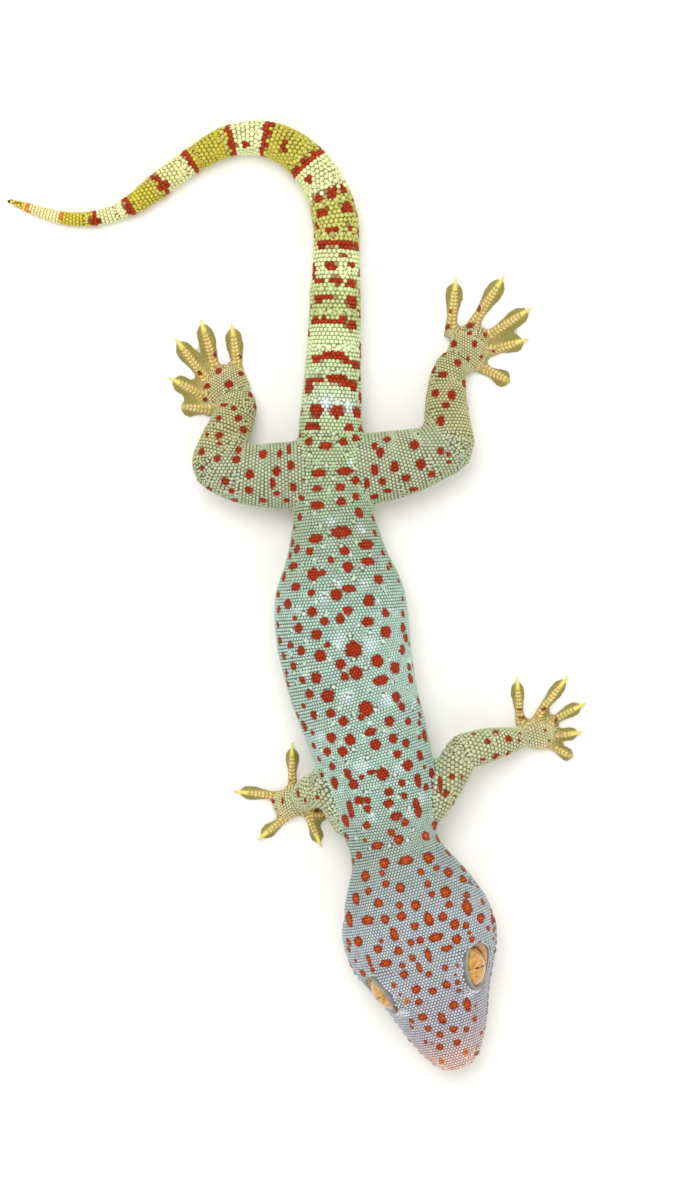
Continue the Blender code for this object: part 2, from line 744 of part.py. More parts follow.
def make_limb(skin, palm_skin, pad_skin, names, upper_shape, lower_shape):
    """Each piece is cut clear of the one before: body, upper limb, lower limb, palm, then the toes."""
    upper, lower, hand = names
    breadth = PAD_BREADTH[hand.split("_")[0]]
    finish(trimmed(limb_piece(upper, upper_shape), [body_core()]), skin)
    clear = [limb_piece("clear", upper_shape, GAP), body_core()]
    finish(trimmed(limb_piece(lower, lower_shape), clear), skin)
    clear = [limb_piece("clear", lower_shape, GAP), body_core()]
    finish(trimmed(palm(hand, PALMS[hand]), clear), palm_skin)
    for number, (root, tip) in enumerate(TOES[hand], 1):
        clear = [palm("clear", PALMS[hand], GAP), limb_piece("clear", lower_shape, GAP)]
        if number > 1:
            clear.append(toe("clear", *TOES[hand][number - 2], breadth, False, GAP))
        piece = toe(f"{hand}_toe_{number}", root, tip, breadth, number > 1)
        finish(trimmed(piece, clear), pad_skin)


def material(name, colour, roughness):
    """colour is linear red, green and blue."""
    made = bpy.data.materials.new(name)
    made.use_nodes = True
    shader = made.node_tree.nodes["Principled BSDF"]
    shader.inputs["Base Color"].default_value = (*colour, 1)
    shader.inputs["Roughness"].default_value = roughness
    return made


def main():
    for obj in list(bpy.data.objects):
        bpy.data.objects.remove(obj)
    pieces = bpy.data.collections.new("tokay gecko")
    bpy.context.scene.collection.children.link(pieces)
    head_skin = material("head_skin", (0.42, 0.47, 0.56), 0.5)
    back_skin = material("back_skin", (0.42, 0.53, 0.53), 0.5)
    tail_skin = material("tail_skin", (0.52, 0.53, 0.33), 0.5)
    leg_skin = material("leg_skin", (0.42, 0.46, 0.34), 0.55)
    palm_skin = material("palm_skin", (0.6, 0.47, 0.3), 0.55)
    toe_skin = material("toe_skin", (0.5, 0.41, 0.13), 0.5)
    eye = material("eye", (0.58, 0.32, 0.09), 0.08)
    make_head(head_skin)
    make_eyes(eye)
    make_trunk(back_skin, tail_skin)
    skins = (leg_skin, palm_skin, toe_skin)
    names = ("upper_arm_left", "forearm_left", "hand_left")
    make_limb(*skins, names, UPPER_ARM_LEFT, FOREARM_LEFT)
    names = ("upper_arm_right", "forearm_right", "hand_right")
    make_limb(*skins, names, UPPER_ARM_RIGHT, FOREARM_RIGHT)
    names = ("thigh_left", "shank_left", "foot_left")
    make_limb(*skins, names, THIGH_LEFT, SHANK_LEFT)
    names = ("thigh_right", "shank_right", "foot_right")
    make_limb(*skins, names, THIGH_RIGHT, SHANK_RIGHT)


main()
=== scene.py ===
"""A life-size tokay gecko on its belly, its tail curled to the left, as a still museum-style model."""
import math

import bmesh
import bpy
import numpy as np
from mathutils import Matrix, Vector
from mathutils.bvhtree import BVHTree


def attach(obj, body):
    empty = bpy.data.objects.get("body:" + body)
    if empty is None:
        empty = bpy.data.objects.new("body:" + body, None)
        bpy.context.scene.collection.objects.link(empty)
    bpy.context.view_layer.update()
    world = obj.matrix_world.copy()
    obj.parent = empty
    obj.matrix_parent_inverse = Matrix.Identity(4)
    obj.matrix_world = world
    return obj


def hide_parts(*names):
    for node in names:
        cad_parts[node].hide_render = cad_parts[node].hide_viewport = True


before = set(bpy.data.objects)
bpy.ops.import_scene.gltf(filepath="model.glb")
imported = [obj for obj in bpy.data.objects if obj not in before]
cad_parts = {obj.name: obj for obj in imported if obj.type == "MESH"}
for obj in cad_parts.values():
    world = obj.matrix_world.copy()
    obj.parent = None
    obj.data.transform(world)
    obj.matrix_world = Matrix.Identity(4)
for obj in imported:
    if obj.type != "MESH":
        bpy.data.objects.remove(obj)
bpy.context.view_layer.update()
bpy.ops.object.select_all(action="DESELECT")

# The camera hangs straight above the animal, as it did for the photograph. The frame is 312 mm high
# at 0.7 m from it, about halfway up the back. The view transform is plain, so a colour shows as given.
CAMERA_PLACE = (0.0107, -0.0016, 0.71)
SENSOR_HEIGHT = 24
FRAME_DISTANCE = 0.7
FRAME_HEIGHT = 0.312
bpy.ops.object.camera_add(location=CAMERA_PLACE, rotation=(0, 0, 0))
camera = bpy.context.object
camera.data.sensor_fit = "VERTICAL"
camera.data.sensor_height = SENSOR_HEIGHT
camera.data.lens = SENSOR_HEIGHT * FRAME_DISTANCE / FRAME_HEIGHT
camera.data.clip_start = 0.01
bpy.context.scene.camera = camera
bpy.context.scene.view_settings.view_transform = "Standard"

# The floor is one sheet of white paper that runs out of sight on every side, under a large soft
# box overhead and a pale room.
FLOOR_WHITE = "#fdfdfb"
FLOOR_SIZE = 6
ROOM_TONE = (1.0, 0.985, 0.96, 1)
ROOM_LIGHT = 0.72


def linear(code):
    """sRGB hex, such as "#a0b0c0", as linear red, green and blue."""
    channels = [int(code[k : k + 2], 16) / 255 for k in (1, 3, 5)]
    return np.array([c / 12.92 if c <= 0.04045 else ((c + 0.055) / 1.055) ** 2.4 for c in channels])


def new_finish(name, **values):
    """A new material, its nodes and its shader, whose own values are set by their sockets' names."""
    material = bpy.data.materials.new(name)
    material.use_nodes = True
    shader = material.node_tree.nodes["Principled BSDF"]
    for socket, value in values.items():
        shader.inputs[socket.replace("_", " ")].default_value = value
    return material, material.node_tree, shader


bpy.ops.mesh.primitive_plane_add(size=FLOOR_SIZE, location=(0, 0, 0))
floor = bpy.context.object
floor.name = "floor"
# Paper is matt: it takes soft shadows and shows no highlight.
paper, _, _ = new_finish(
    "white paper, matt", Base_Color=(*linear(FLOOR_WHITE), 1), Roughness=0.9, Specular_IOR_Level=0.1
)
floor.data.materials.append(paper)

room = bpy.data.worlds.new("pale room")
room.use_nodes = True
room.node_tree.nodes["Background"].inputs["Color"].default_value = ROOM_TONE
room.node_tree.nodes["Background"].inputs["Strength"].default_value = ROOM_LIGHT
bpy.context.scene.world = room
for name, place, size, power in (
    ("soft box overhead", (-0.12, 0.35, 0.9), 0.7, 4.6),
    ("fill from the front", (0.3, -0.6, 0.7), 0.8, 1.3),
):
    bpy.ops.object.light_add(type="AREA", location=place)
    lamp = bpy.context.object
    lamp.name = name
    lamp.data.shape = "DISK"
    lamp.data.size = size
    lamp.data.energy = power
    lamp.rotation_euler = (-Vector(place)).to_track_quat("-Z", "Y").to_euler()

# The skin is one closed hide over head, body, limbs and tail. It is made from the solids of flesh:
# they are swelled until they touch, melted into one by a voxel remesh, relaxed, and drawn back to
# just inside the solids, which leaves room for the scales. All of this is in millimetres.
SWELL = 0.3
VOXEL = 0.52
FLESH = [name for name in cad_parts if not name.startswith("eye")]
BODY = [name for name in FLESH if name.split("_")[0] in ("head", "jaw", "neck", "torso", "tail")]
SCALE_ROOM = {"body": 0.3, "limb": 0.26, "palm": 0.2, "toe": 0.12}


def region(name):
    if name in BODY:
        return "body"
    if "toe" in name:
        return "toe"
    return "palm" if name.split("_")[0] in ("hand", "foot") else "limb"


def merged(name):
    """A CAD node's mesh with its loose triangles joined, in millimetres."""
    bm = bmesh.new()
    bm.from_mesh(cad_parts[name].data)
    bmesh.ops.scale(bm, vec=(1000, 1000, 1000), verts=bm.verts)
    bmesh.ops.remove_doubles(bm, verts=bm.verts, dist=1e-3)
    bm.normal_update()
    return bm


def tree_of(names):
    """A search tree over the nodes' faces, and the node's name for each face."""
    points, faces, owners = [], [], []
    for name in names:
        bm = merged(name)
        first = len(points)
        points += [v.co.copy() for v in bm.verts]
        faces += [[first + v.index for v in face.verts] for face in bm.faces]
        owners += [name] * len(bm.faces)
        bm.free()
    return BVHTree.FromPolygons(points, faces), owners


flesh_tree, flesh_owner = tree_of(FLESH)
body_tree, _ = tree_of(BODY)

shells = bmesh.new()
for name in FLESH:
    bm = merged(name)
    for vert, normal in [(v, v.normal.copy()) for v in bm.verts]:
        vert.co += normal * SWELL
    scratch = bpy.data.meshes.new("scratch")
    bm.to_mesh(scratch)
    bm.free()
    shells.from_mesh(scratch)
    bpy.data.meshes.remove(scratch)
hide_mesh = bpy.data.meshes.new("skin")
shells.to_mesh(hide_mesh)
shells.free()
hide = bpy.data.objects.new("skin", hide_mesh)
bpy.context.scene.collection.objects.link(hide)
bpy.context.view_layer.objects.active = hide
melt = hide.modifiers.new("melt", "REMESH")
melt.mode = "VOXEL"
melt.voxel_size = VOXEL
bpy.ops.object.modifier_apply(modifier=melt.name)


def points_of(mesh):
    flat = np.empty(len(mesh.vertices) * 3, np.float32)
    mesh.vertices.foreach_get("co", flat)
    return flat.reshape(-1, 3).astype(float)


def edges_of(mesh):
    flat = np.empty(len(mesh.edges) * 2, np.int32)
    mesh.edges.foreach_get("vertices", flat)
    return flat.reshape(-1, 2)


def mean_of_neighbours(values, edges):
    count = np.bincount(edges.ravel(), minlength=len(values))[:, None]
    columns = []
    for k in range(values.shape[1]):
        there = np.bincount(edges[:, 0], values[edges[:, 1], k], len(values))
        back = np.bincount(edges[:, 1], values[edges[:, 0], k], len(values))
        columns.append(there + back)
    return np.stack(columns, 1) / np.maximum(count, 1)


def normals_of(mesh, points):
    """Area-weighted point normals of a mesh of quads."""
    corners = np.empty(len(mesh.loops), np.int32)
    mesh.loops.foreach_get("vertex_index", corners)
    quads = corners.reshape(-1, 4)
    p = points[quads]
    faces = np.cross(p[:, 2] - p[:, 0], p[:, 3] - p[:, 1])
    total = np.zeros_like(points)
    for k in range(4):
        for axis in range(3):
            total[:, axis] += np.bincount(quads[:, k], faces[:, axis], len(points))
    return total / np.maximum(np.linalg.norm(total, axis=1, keepdims=True), 1e-12), quads


# Where each toe's root and tip lie in plan, read from the photograph. The part's own middle lies a
# little off the middle of these readings.
PLAN_MIDDLE = np.array((0.5, 0.3))
TOE_ROWS = {
    "hand_left": (
        ((67, -39.8), (73.3, -42.6)), ((66.4, -37.4), (74.6, -36.2)), ((66, -34), (75.4, -29)),
        ((62.9, -32.9), (71.1, -22.5)), ((59.4, -34.4), (58.6, -22.8)),
    ),
    "hand_right": (
        ((4, -56.6), (8.8, -58.4)), ((3.4, -57.4), (6.6, -65)), ((-1.1, -57.6), (-8.7, -63.6)),
        ((-2.4, -53), (-14.4, -51.8)), ((-0.6, -50), (-0.6, -40.4)),
    ),
    "foot_left": (
        ((49.2, 60), (56.7, 56.2)), ((50.9, 64.1), (60.2, 67)), ((49.8, 67.4), (61.3, 74.9)),
        ((46.4, 70.4), (54.5, 82.9)), ((41.1, 69.6), (42.4, 82.2)),
    ),
    "foot_right": (
        ((-21.3, 48.6), (-29.9, 49.7)), ((-22.7, 51.7), (-31.9, 56.7)), ((-22.2, 55.3), (-30.6, 66.6)),
        ((-20, 56.8), (-24.3, 71.3)), ((-14.5, 56.4), (-16.4, 70.3)),
    ),
}
toes = {}
for limb, rows in TOE_ROWS.items():
    for number, (root, tip) in enumerate(rows, 1):
        toes[f"{limb}_toe_{number}"] = (np.array(root) - PLAN_MIDDLE, np.array(tip) - PLAN_MIDDLE)


def along_toe(places, name):
    """How far places lie along a toe, from 0 at its root to 1 at its tip, and the mm off its middle."""
    root, tip = toes[name]
    length = np.linalg.norm(tip - root)
    run = (tip - root) / length
    gap = places[:, :2] - root
    return gap @ run / length, gap @ np.array((-run[1], run[0]))


# How many rounds each part of the hide is relaxed, and how often these numbers are blended where
# parts meet. Soft flesh is relaxed the most, and toes and jaw the least.
RELAX = {
    "head": 5, "jaw": 6, "neck": 26, "torso": 30, "tail": 18, "tail_5": 12, "tail_6": 5, "limb": 14,
    "palm": 8, "toe": 4,
}
RELAX_BLEND = 12
RELAX_SHARE = 0.5
DEPTH_BLEND = 6


def relax_rounds(name):
    if name in RELAX:
        return RELAX[name]
    return RELAX["tail"] if name.startswith("tail") else RELAX[region(name)]


points = points_of(hide_mesh)
edges = edges_of(hide_mesh)
owner = np.array([flesh_owner[flesh_tree.find_nearest(Vector(p))[2]] for p in points])
rounds = np.array([relax_rounds(name) for name in owner], float)[:, None]
for _ in range(RELAX_BLEND):
    rounds = 0.5 * rounds + 0.5 * mean_of_neighbours(rounds, edges)
for turn in range(int(rounds.max()) + 1):
    share = np.clip(rounds - turn, 0, 1) * RELAX_SHARE
    points += share * (mean_of_neighbours(points, edges) - points)
# Each toe is drawn in at its waist and rounded at its tip, and then smoothed by turns in and out, so
# that the pads' edges run clean and stay thick.
TOE_WAIST = (  # place along the toe, and the share of its breadth that it keeps there
    (-0.1, 1), (0.1, 0.93), (0.3, 0.8), (0.5, 0.92), (0.7, 1.03), (0.85, 0.97), (0.95, 0.84), (1.06, 0.66),
)
TOE_SMOOTHING = (0.5, -0.52) * 12
for name, (root, tip) in toes.items():
    here = owner == name
    along, side = along_toe(points[here], name)
    run = (tip - root) / np.linalg.norm(tip - root)
    share = np.interp(along, *zip(*TOE_WAIST)) - 1
    points[here, :2] += (side * share)[:, None] * np.array((-run[1], run[0]))
# The left hand's palm is drawn in round its edge, where the palm's solid is broader than the photo's.
PALM_LEFT = (64.1, -37.3)
PALM_EDGE = 5.2
PALM_BAND = 1.7
PALM_DRAWN_IN = 0.17
outward = points[:, :2] - PALM_LEFT
edge_share = np.exp(-(((np.linalg.norm(outward, axis=1) - PALM_EDGE) / PALM_BAND) ** 2))
points[:, :2] -= PALM_DRAWN_IN * edge_share[:, None] * outward
on_toe = np.array([float(region(name) == "toe") for name in owner])[:, None]
for share in TOE_SMOOTHING:
    points += on_toe * share * (mean_of_neighbours(points, edges) - points)
depth = np.array([SCALE_ROOM[region(name)] for name in owner])[:, None]
for _ in range(DEPTH_BLEND):
    depth = mean_of_neighbours(depth, edges)
normals, quads = normals_of(hide_mesh, points)
points -= normals * (SWELL + depth)

# Where a point lies along the body: the backbone's arcs in plan, each with its length in mm and its
# turn in degrees, laid end to end from the snout. left is the distance out to the animal's left.
SNOUT = (42.1, -123.9)
HEADING = 106
ARCS = (
    (59.3, 0), (8.6, -6.5), (27.4, 9.5), (27.3, -15.3), (25.9, 1.7), (25.3, -8.1), (47.3, 1.7),
    (24.9, 50), (24.4, 71.5), (21.6, 9.2), (27, -57.3), (12, -4.4),
)
LENGTH = 331
STEP = 0.5

arc_ends = np.cumsum([length for length, _ in ARCS])
spine_s = np.arange(0, LENGTH + STEP, STEP)
bend = np.zeros(len(spine_s))
for (length, turn), end in zip(ARCS, arc_ends):
    bend += turn * np.clip((spine_s - (end - length)) / length, 0, 1)
spine_heading = np.radians(HEADING + bend)
middle_heading = (spine_heading[1:] + spine_heading[:-1]) / 2
steps = STEP * np.stack([np.cos(middle_heading), np.sin(middle_heading)], 1)
spine = np.vstack([SNOUT, np.array(SNOUT) + np.cumsum(steps, 0)])
spine_left = np.stack([np.sin(spine_heading), -np.cos(spine_heading)], 1)
spine_back = np.stack([np.cos(spine_heading), np.sin(spine_heading)], 1)


def along_body(places):
    """Stations along the backbone and distances to the animal's left of it."""
    station, left = np.empty(len(places)), np.empty(len(places))
    for start in range(0, len(places), 4000):
        part = places[start : start + 4000, :2]
        gap = part[:, None, :] - spine[None, ::2]
        near = 2 * np.argmin((gap**2).sum(2), 1)
        gap = part - spine[near]
        station[start : start + 4000] = spine_s[near] + (gap * spine_back[near]).sum(1)
        left[start : start + 4000] = (gap * spine_left[near]).sum(1)
    return station, left


def backbone_at(s):
    """The backbone's plan point at a station, its direction to the tail and its left."""
    place = np.array([np.interp(s, spine_s, spine[:, k]) for k in (0, 1)])
    heading = np.interp(s, spine_s, spine_heading)
    back = np.array((math.cos(heading), math.sin(heading)))
    return place, back, np.array((back[1], -back[0]))


def on_body(s, off):
    """The plan point at a station and a distance to the left."""
    place, _, out = backbone_at(s)
    return place + out * off


def mouth_height(s):
    """The mouth line, as the solids have it: it dips under the eye and climbs at the corner."""
    t = np.clip((s - 26) / 14, 0, 1)
    return 7.3 - 0.5 * np.exp(-(((s - 17) / 8) ** 2)) + 1.6 * t * t * (3 - 2 * t)


# The head is straight and is carried rolled by 8 degrees, its left eye up. The eyes are set in its
# sides, turned out, up and a little forward, where the solids have them.
HEAD_ROLL = math.radians(8)
ROLL_HEIGHT = 11
lift = Matrix.Translation((0, 0, ROLL_HEIGHT))
head_frame = Matrix.Translation((*SNOUT, 0)) @ Matrix.Rotation(math.radians(HEADING), 4, "Z")
head_frame = head_frame @ lift @ Matrix.Rotation(-HEAD_ROLL, 4, "X") @ lift.inverted()
EYE_FROM_SNOUT = 26.5
EYE_OUT = 8.8
EYE_UP = 15.4
EYE_TILT = 20
EYE_FORWARD = {"left": 8, "right": 20}
SIDES = {"left": -1, "right": 1}
eye_frames = {}
for side, sign in SIDES.items():
    turned_out = Matrix.Rotation(math.radians(sign * (90 + EYE_FORWARD[side])), 4, "Z")
    turned_up = Matrix.Rotation(math.radians(-EYE_TILT), 4, "Y")
    seat = Matrix.Translation((EYE_FROM_SNOUT, sign * EYE_OUT, EYE_UP))
    eye_frames[side] = head_frame @ seat @ turned_out @ turned_up


def in_eye_frame(places, side):
    """Places in millimetres as an eye sees them: +X out of the head, +Z up."""
    turn = np.array(eye_frames[side].inverted())
    return places @ turn[:3, :3].T + turn[:3, 3]


def head_height(s, left, z):
    """Height in the head's own frame, which is rolled and rolls level again along the neck."""
    t = np.clip((s - 54) / 22, 0, 1)
    roll = HEAD_ROLL * (1 - t * t * (3 - 2 * t))
    return ROLL_HEIGHT - left * np.sin(roll) + (z - ROLL_HEIGHT) * np.cos(roll)


# The mouth is a shallow shut crease from one corner round the snout to the other, with lips that
# swell a little above and below it.
CREASE_DEPTH = 0.5
CREASE_WIDTH = 0.42
LIP_RISE = 0.16
LIP_STAND = 1.1
LIP_WIDTH = 0.7
station, left = along_body(points)
is_head = np.array([name in ("head", "jaw") for name in owner])
rise = head_height(station, left, points[:, 2]) - mouth_height(station)
near_lips = is_head * np.clip((42 - station) / 3, 0, 1)
crease = -CREASE_DEPTH * np.exp(-((rise / CREASE_WIDTH) ** 2))
crease += LIP_RISE * np.exp(-(((np.abs(rise) - LIP_STAND) / LIP_WIDTH) ** 2))
points += normals * (near_lips * crease)[:, None]

# A nostril opens on each side of the snout's tip, as a small round pit.
NOSTRIL_FROM_SNOUT = 4.2
NOSTRIL_UP = 10.0
NOSTRIL_RADIUS = 0.55
NOSTRIL_DEPTH = 0.7
FLOOR_GAP = 0.12
nostrils = []
for sign in SIDES.values():
    outside = head_frame @ Vector((NOSTRIL_FROM_SNOUT, sign * 20, NOSTRIL_UP))
    inward = (head_frame @ Vector((NOSTRIL_FROM_SNOUT, 0, NOSTRIL_UP)) - outside).normalized()
    nostrils.append(body_tree.ray_cast(outside, inward)[0])


def from_nostril(places):
    """Distances from the nearer nostril, in mm."""
    return np.min([np.linalg.norm(places - tuple(pit), axis=1) for pit in nostrils], axis=0)


points -= normals * (NOSTRIL_DEPTH * np.exp(-((from_nostril(points) / NOSTRIL_RADIUS) ** 2)))[:, None]
points[:, 2] = np.maximum(points[:, 2], FLOOR_GAP)
hide_mesh.vertices.foreach_set("co", (points / 1000).astype(np.float32).ravel())
hide_mesh.update()
normals, quads = normals_of(hide_mesh, points)

# The markings are the same on skin and scales. A spot is read from above as station, left and its
# half sizes across and along, and is a ball in space, so it wraps over the flanks and fits the scales.
SPOT_REACH = 1.25
HEAD_SPOTS = (
    (58, -3.5, 1.3), (57.2, 2.1, 1.9, 1.1), (56, -9.1, 1.3), (55.8, -4.7, 0.8), (56.2, 7.9, 1.4),
    (52.9, -4.5, 0.9), (53.4, 5, 0.9), (53.2, 9.2, 0.8), (52.2, -9.4, 0.9), (51.1, -1.2, 1.2),
    (51.2, 11.8, 1.2), (50.9, -13.1, 1.1, 1.6), (50.1, 5.8, 0.9), (48.7, -7.7, 1.2), (48.2, 15, 1.1),
    (47.3, 6.1, 0.8), (46.8, -2.7, 0.9), (46.7, 9.6, 1.4), (46.1, -16.3, 1, 2), (45.7, 1.3, 1.2),
    (45.1, -11.6, 1.7, 1.2), (45.1, 18.2, 0.7), (44.3, -7.2, 1.1), (44, -2.9, 1.1), (44.3, 14.7, 0.9),
    (43.5, 9.6, 0.9), (41.5, 3.6, 1.1, 1.8), (41.4, 13.9, 1.2, 2), (41.1, 7.2, 1.1), (41.1, 18.3, 0.8),
    (40.7, -0.4, 1), (40.2, -15.6, 1.3), (40, -6, 1, 1.8), (39.2, -9.7, 0.6), (38.5, -18.5, 0.8),
    (38.3, 9.6, 1.2), (38, 19.8, 0.6), (37.3, -11.1, 1.1), (36.9, -2.5, 0.9), (36.9, 0, 0.9),
    (36.5, 4, 1.8, 1.1), (37.1, 12.3, 0.9), (37.5, 16.6, 1.2), (35.6, -6.1, 1.1), (35.3, -14.1, 0.6, 1.1),
    (35, 12.6, 0.6), (34.3, 17.9, 0.7), (35.3, -17.6, 0.5), (34.4, 9, 1.2), (33.6, -14.2, 0.6),
    (33.2, -10.2, 1.6, 1), (33, -3.2, 0.9), (32.6, 0.9, 0.8, 1.8), (33, 5.9, 1.5, 0.8), (33.2, 12.9, 0.8),
    (33.9, -19.3, 0.8), (31.7, -6.3, 0.8), (31.6, -16.8, 1), (32.2, -14, 0.6), (31.4, 14.4, 0.6),
    (30.8, 18.4, 0.5), (30, -2.2, 0.7, 1.5), (29.3, -6.4, 1), (28.4, 4.2, 0.8), (28.2, 7.3, 0.5),
    (27.7, -0.3, 0.8), (27.5, -9.7, 0.7), (27.9, -15.4, 0.9), (28.6, 15.7, 0.6), (24.7, -4.5, 1.1),
    (23.9, 3.3, 1.1), (23.9, 6.2, 0.7), (23.1, -0.6, 1), (24.7, -8.8, 0.4), (26, 6.2, 0.4), (21.3, -4.7, 0.9),
    (21.5, 5.8, 0.7), (18, 3.7, 1.2), (17, -4.9, 1.1), (17, 7, 1, 2), (15.8, 9, 0.4), (15.4, -0.2, 1, 1.7),
    (13.7, -4.3, 0.9), (16.6, -8, 0.7), (14.9, -8.3, 0.6), (12.5, 7.9, 0.8), (11.7, 1.9, 1),
    (11.1, -1.8, 0.9), (10.6, 5.1, 0.8), (10, -6, 0.6), (9.3, -4.4, 0.4), (7.9, 1.8, 0.9), (7.9, -2.8, 0.9),
    (7.8, 8.7, 0.6), (2.8, 5.7, 0.5), (20.5, 12, 1, 1.8), (20.5, -11.3, 0.9, 1.6),
)
ORANGE_SPOTS = (
    (22.5, -7.5, 0.7), (4.4, 3.4, 0.8), (3.6, -3.5, 0.8), (243.4, -3.4, 0.8), (325, 1, 1.4, 0.6),
    (324.5, -1, 0.4, 0.8), (315.7, 0.4, 1.2, 0.4),
)
NECK_SPOTS = (
    (64.4, -6.9, 0.6), (62.7, -4, 1.5, 1), (62.9, 1.7, 1.2), (61.8, 8.8, 1.2), (61.1, -9.4, 1),
    (63.7, -11.6, 0.9), (65.2, 0.3, 1), (65.9, 11.3, 1), (66.1, -4, 1.1, 0.6), (67.9, -5.7, 1),
    (67.1, 4.3, 1), (66.1, -9.7, 0.6), (69, 2.2, 1.5, 1.1), (69.8, -10.8, 0.9, 1.8), (71.2, 7.9, 1, 1.3),
    (69, 8.1, 1, 1.4), (70.1, 11.8, 0.9), (72.9, -9, 0.8, 2.6), (72.4, -4.7, 1), (72.7, 0.8, 1.4, 1),
    (73.7, 5.3, 0.9), (74, 13.8, 0.5, 1.8), (74.4, 11.2, 0.9), (75, -6.3, 1.4, 1.1), (74.6, -4.3, 1),
    (75.6, 1.6, 1.1), (76.5, 9.5, 0.9, 1.9), (77, 5.4, 1), (77.9, -12.9, 1), (79.6, -6.8, 1.3),
    (80.9, -4.4, 0.7), (81.6, -1.7, 1.2, 0.7), (80.4, 1, 1.6), (80.9, 7.9, 1.4), (80.9, -11.5, 0.9, 1.6),
    (79.3, 12.1, 0.6), (82.3, 11.6, 0.9, 1.4), (82.6, -7.6, 1, 1.5), (84.3, 6, 1.1), (85.5, -11.1, 1),
    (86.2, 8.9, 1.1), (86.5, 12.7, 0.7), (88.1, 1.2, 1.4), (88.3, 6, 1.2), (88.8, -7.3, 1.3),
    (88.2, -13.9, 0.8), (89.8, -11.2, 1.1), (89.6, 13.8, 0.8), (91.2, -4.6, 1.4), (91.6, 1, 1.5, 1.1),
    (91.1, 11.2, 1), (92.6, 6.4, 1.3), (92.3, -14.1, 0.9), (93.2, -9.1, 1.3), (94.6, 15.4, 1),
    (95.9, -13.3, 0.7), (96.3, -4.8, 1.3), (97.6, 1.8, 1.9), (95.9, -0.1, 0.9), (97.9, 10, 1.3),
    (94.9, 10.7, 1.1), (99.1, -7.2, 1.2), (99.7, -11.6, 1.1), (100.5, -15.8, 0.9), (101.7, 15.1, 1.3),
    (102.2, -13.8, 0.9), (103.3, -6.7, 1.7), (103.7, 7.4, 2, 1.3), (104.7, -11.2, 1.2), (105.4, 16.6, 0.9),
    (106.2, 11.8, 1.5), (106.9, -1.3, 1.1), (107.2, 1.7, 1.7), (108, -8.6, 1.4), (108.2, -12.2, 1),
    (107.8, -16.3, 1), (109.1, 7.6, 1.6), (110.2, -1.8, 1.3), (110.8, 14.6, 1.2), (111.6, -13.8, 1.1),
    (112, 18, 0.6), (113.1, -6.5, 1.5), (113.3, 2.2, 2.1),
)
TRUNK_SPOTS = (
    (114.9, -11.2, 1.2), (115.4, -4.3, 0.8), (116.4, -14, 1), (117.6, -16.6, 1), (117.3, 15.7, 1.2),
    (116.8, 11, 1.5), (118.2, -6.8, 1.4), (120.2, 6.7, 1.6, 1.2), (121.2, -4.4, 1.1), (121.2, -16.6, 0.8),
    (121.6, 16, 0.9), (122.2, 11.4, 1.1), (122.4, -12.2, 0.8), (120.1, -11.2, 1.2), (121.6, -0.3, 1.1, 1.3),
    (123.5, 1.7, 1.2, 1.2), (123.8, -7.4, 1.3), (125.7, 7.4, 1.5), (125.6, 16.3, 0.7), (126.2, -13.7, 1.2),
    (127.7, -0.9, 1.5), (129, 2.4, 1.9, 1), (128.7, -7.2, 0.9), (128.9, -16, 0.9), (130.6, -11.2, 1.4, 1.1),
    (130.9, 10.2, 1.3), (130.2, 15.6, 0.7), (133.4, -6.5, 1.6), (133.7, -4, 0.9), (134.6, 2.6, 1.4),
    (133.7, 13, 0.7), (135.7, 8.1, 2, 1.1), (136, -11.5, 1.6, 1), (136.8, -1.6, 0.9), (137.6, 12.1, 0.9),
    (138.8, 2.1, 1.2), (139.4, -6.9, 1.1), (140, 7.9, 2.1, 1.2), (140.4, -10.2, 1.1), (142.6, -5.1, 1.7, 1.2),
    (142.8, 10.4, 0.8), (143.6, 1.6, 2.7, 1.5), (148.3, 6.8, 1.3), (148.7, -8.8, 1), (151.1, -4, 1.9, 1.1),
    (151.5, 2.4, 1.3, 1.1), (152.6, 6.3, 1), (153.4, -7.7, 0.9), (155.3, -3.6, 1.4, 0.8),
    (155.3, 2.4, 1.3, 1), (157, 6.3, 1.1), (157.8, -7.1, 1.2), (159.2, -3.1, 2, 1.1), (159.5, 3.8, 2.2, 1),
    (164, 8.2, 1), (165, -7.6, 0.8), (166.1, -1.2, 1.6, 1.1), (167.3, -5.6, 1.1), (167.3, 3.5, 1.1),
    (168.4, 6.6, 1),
)
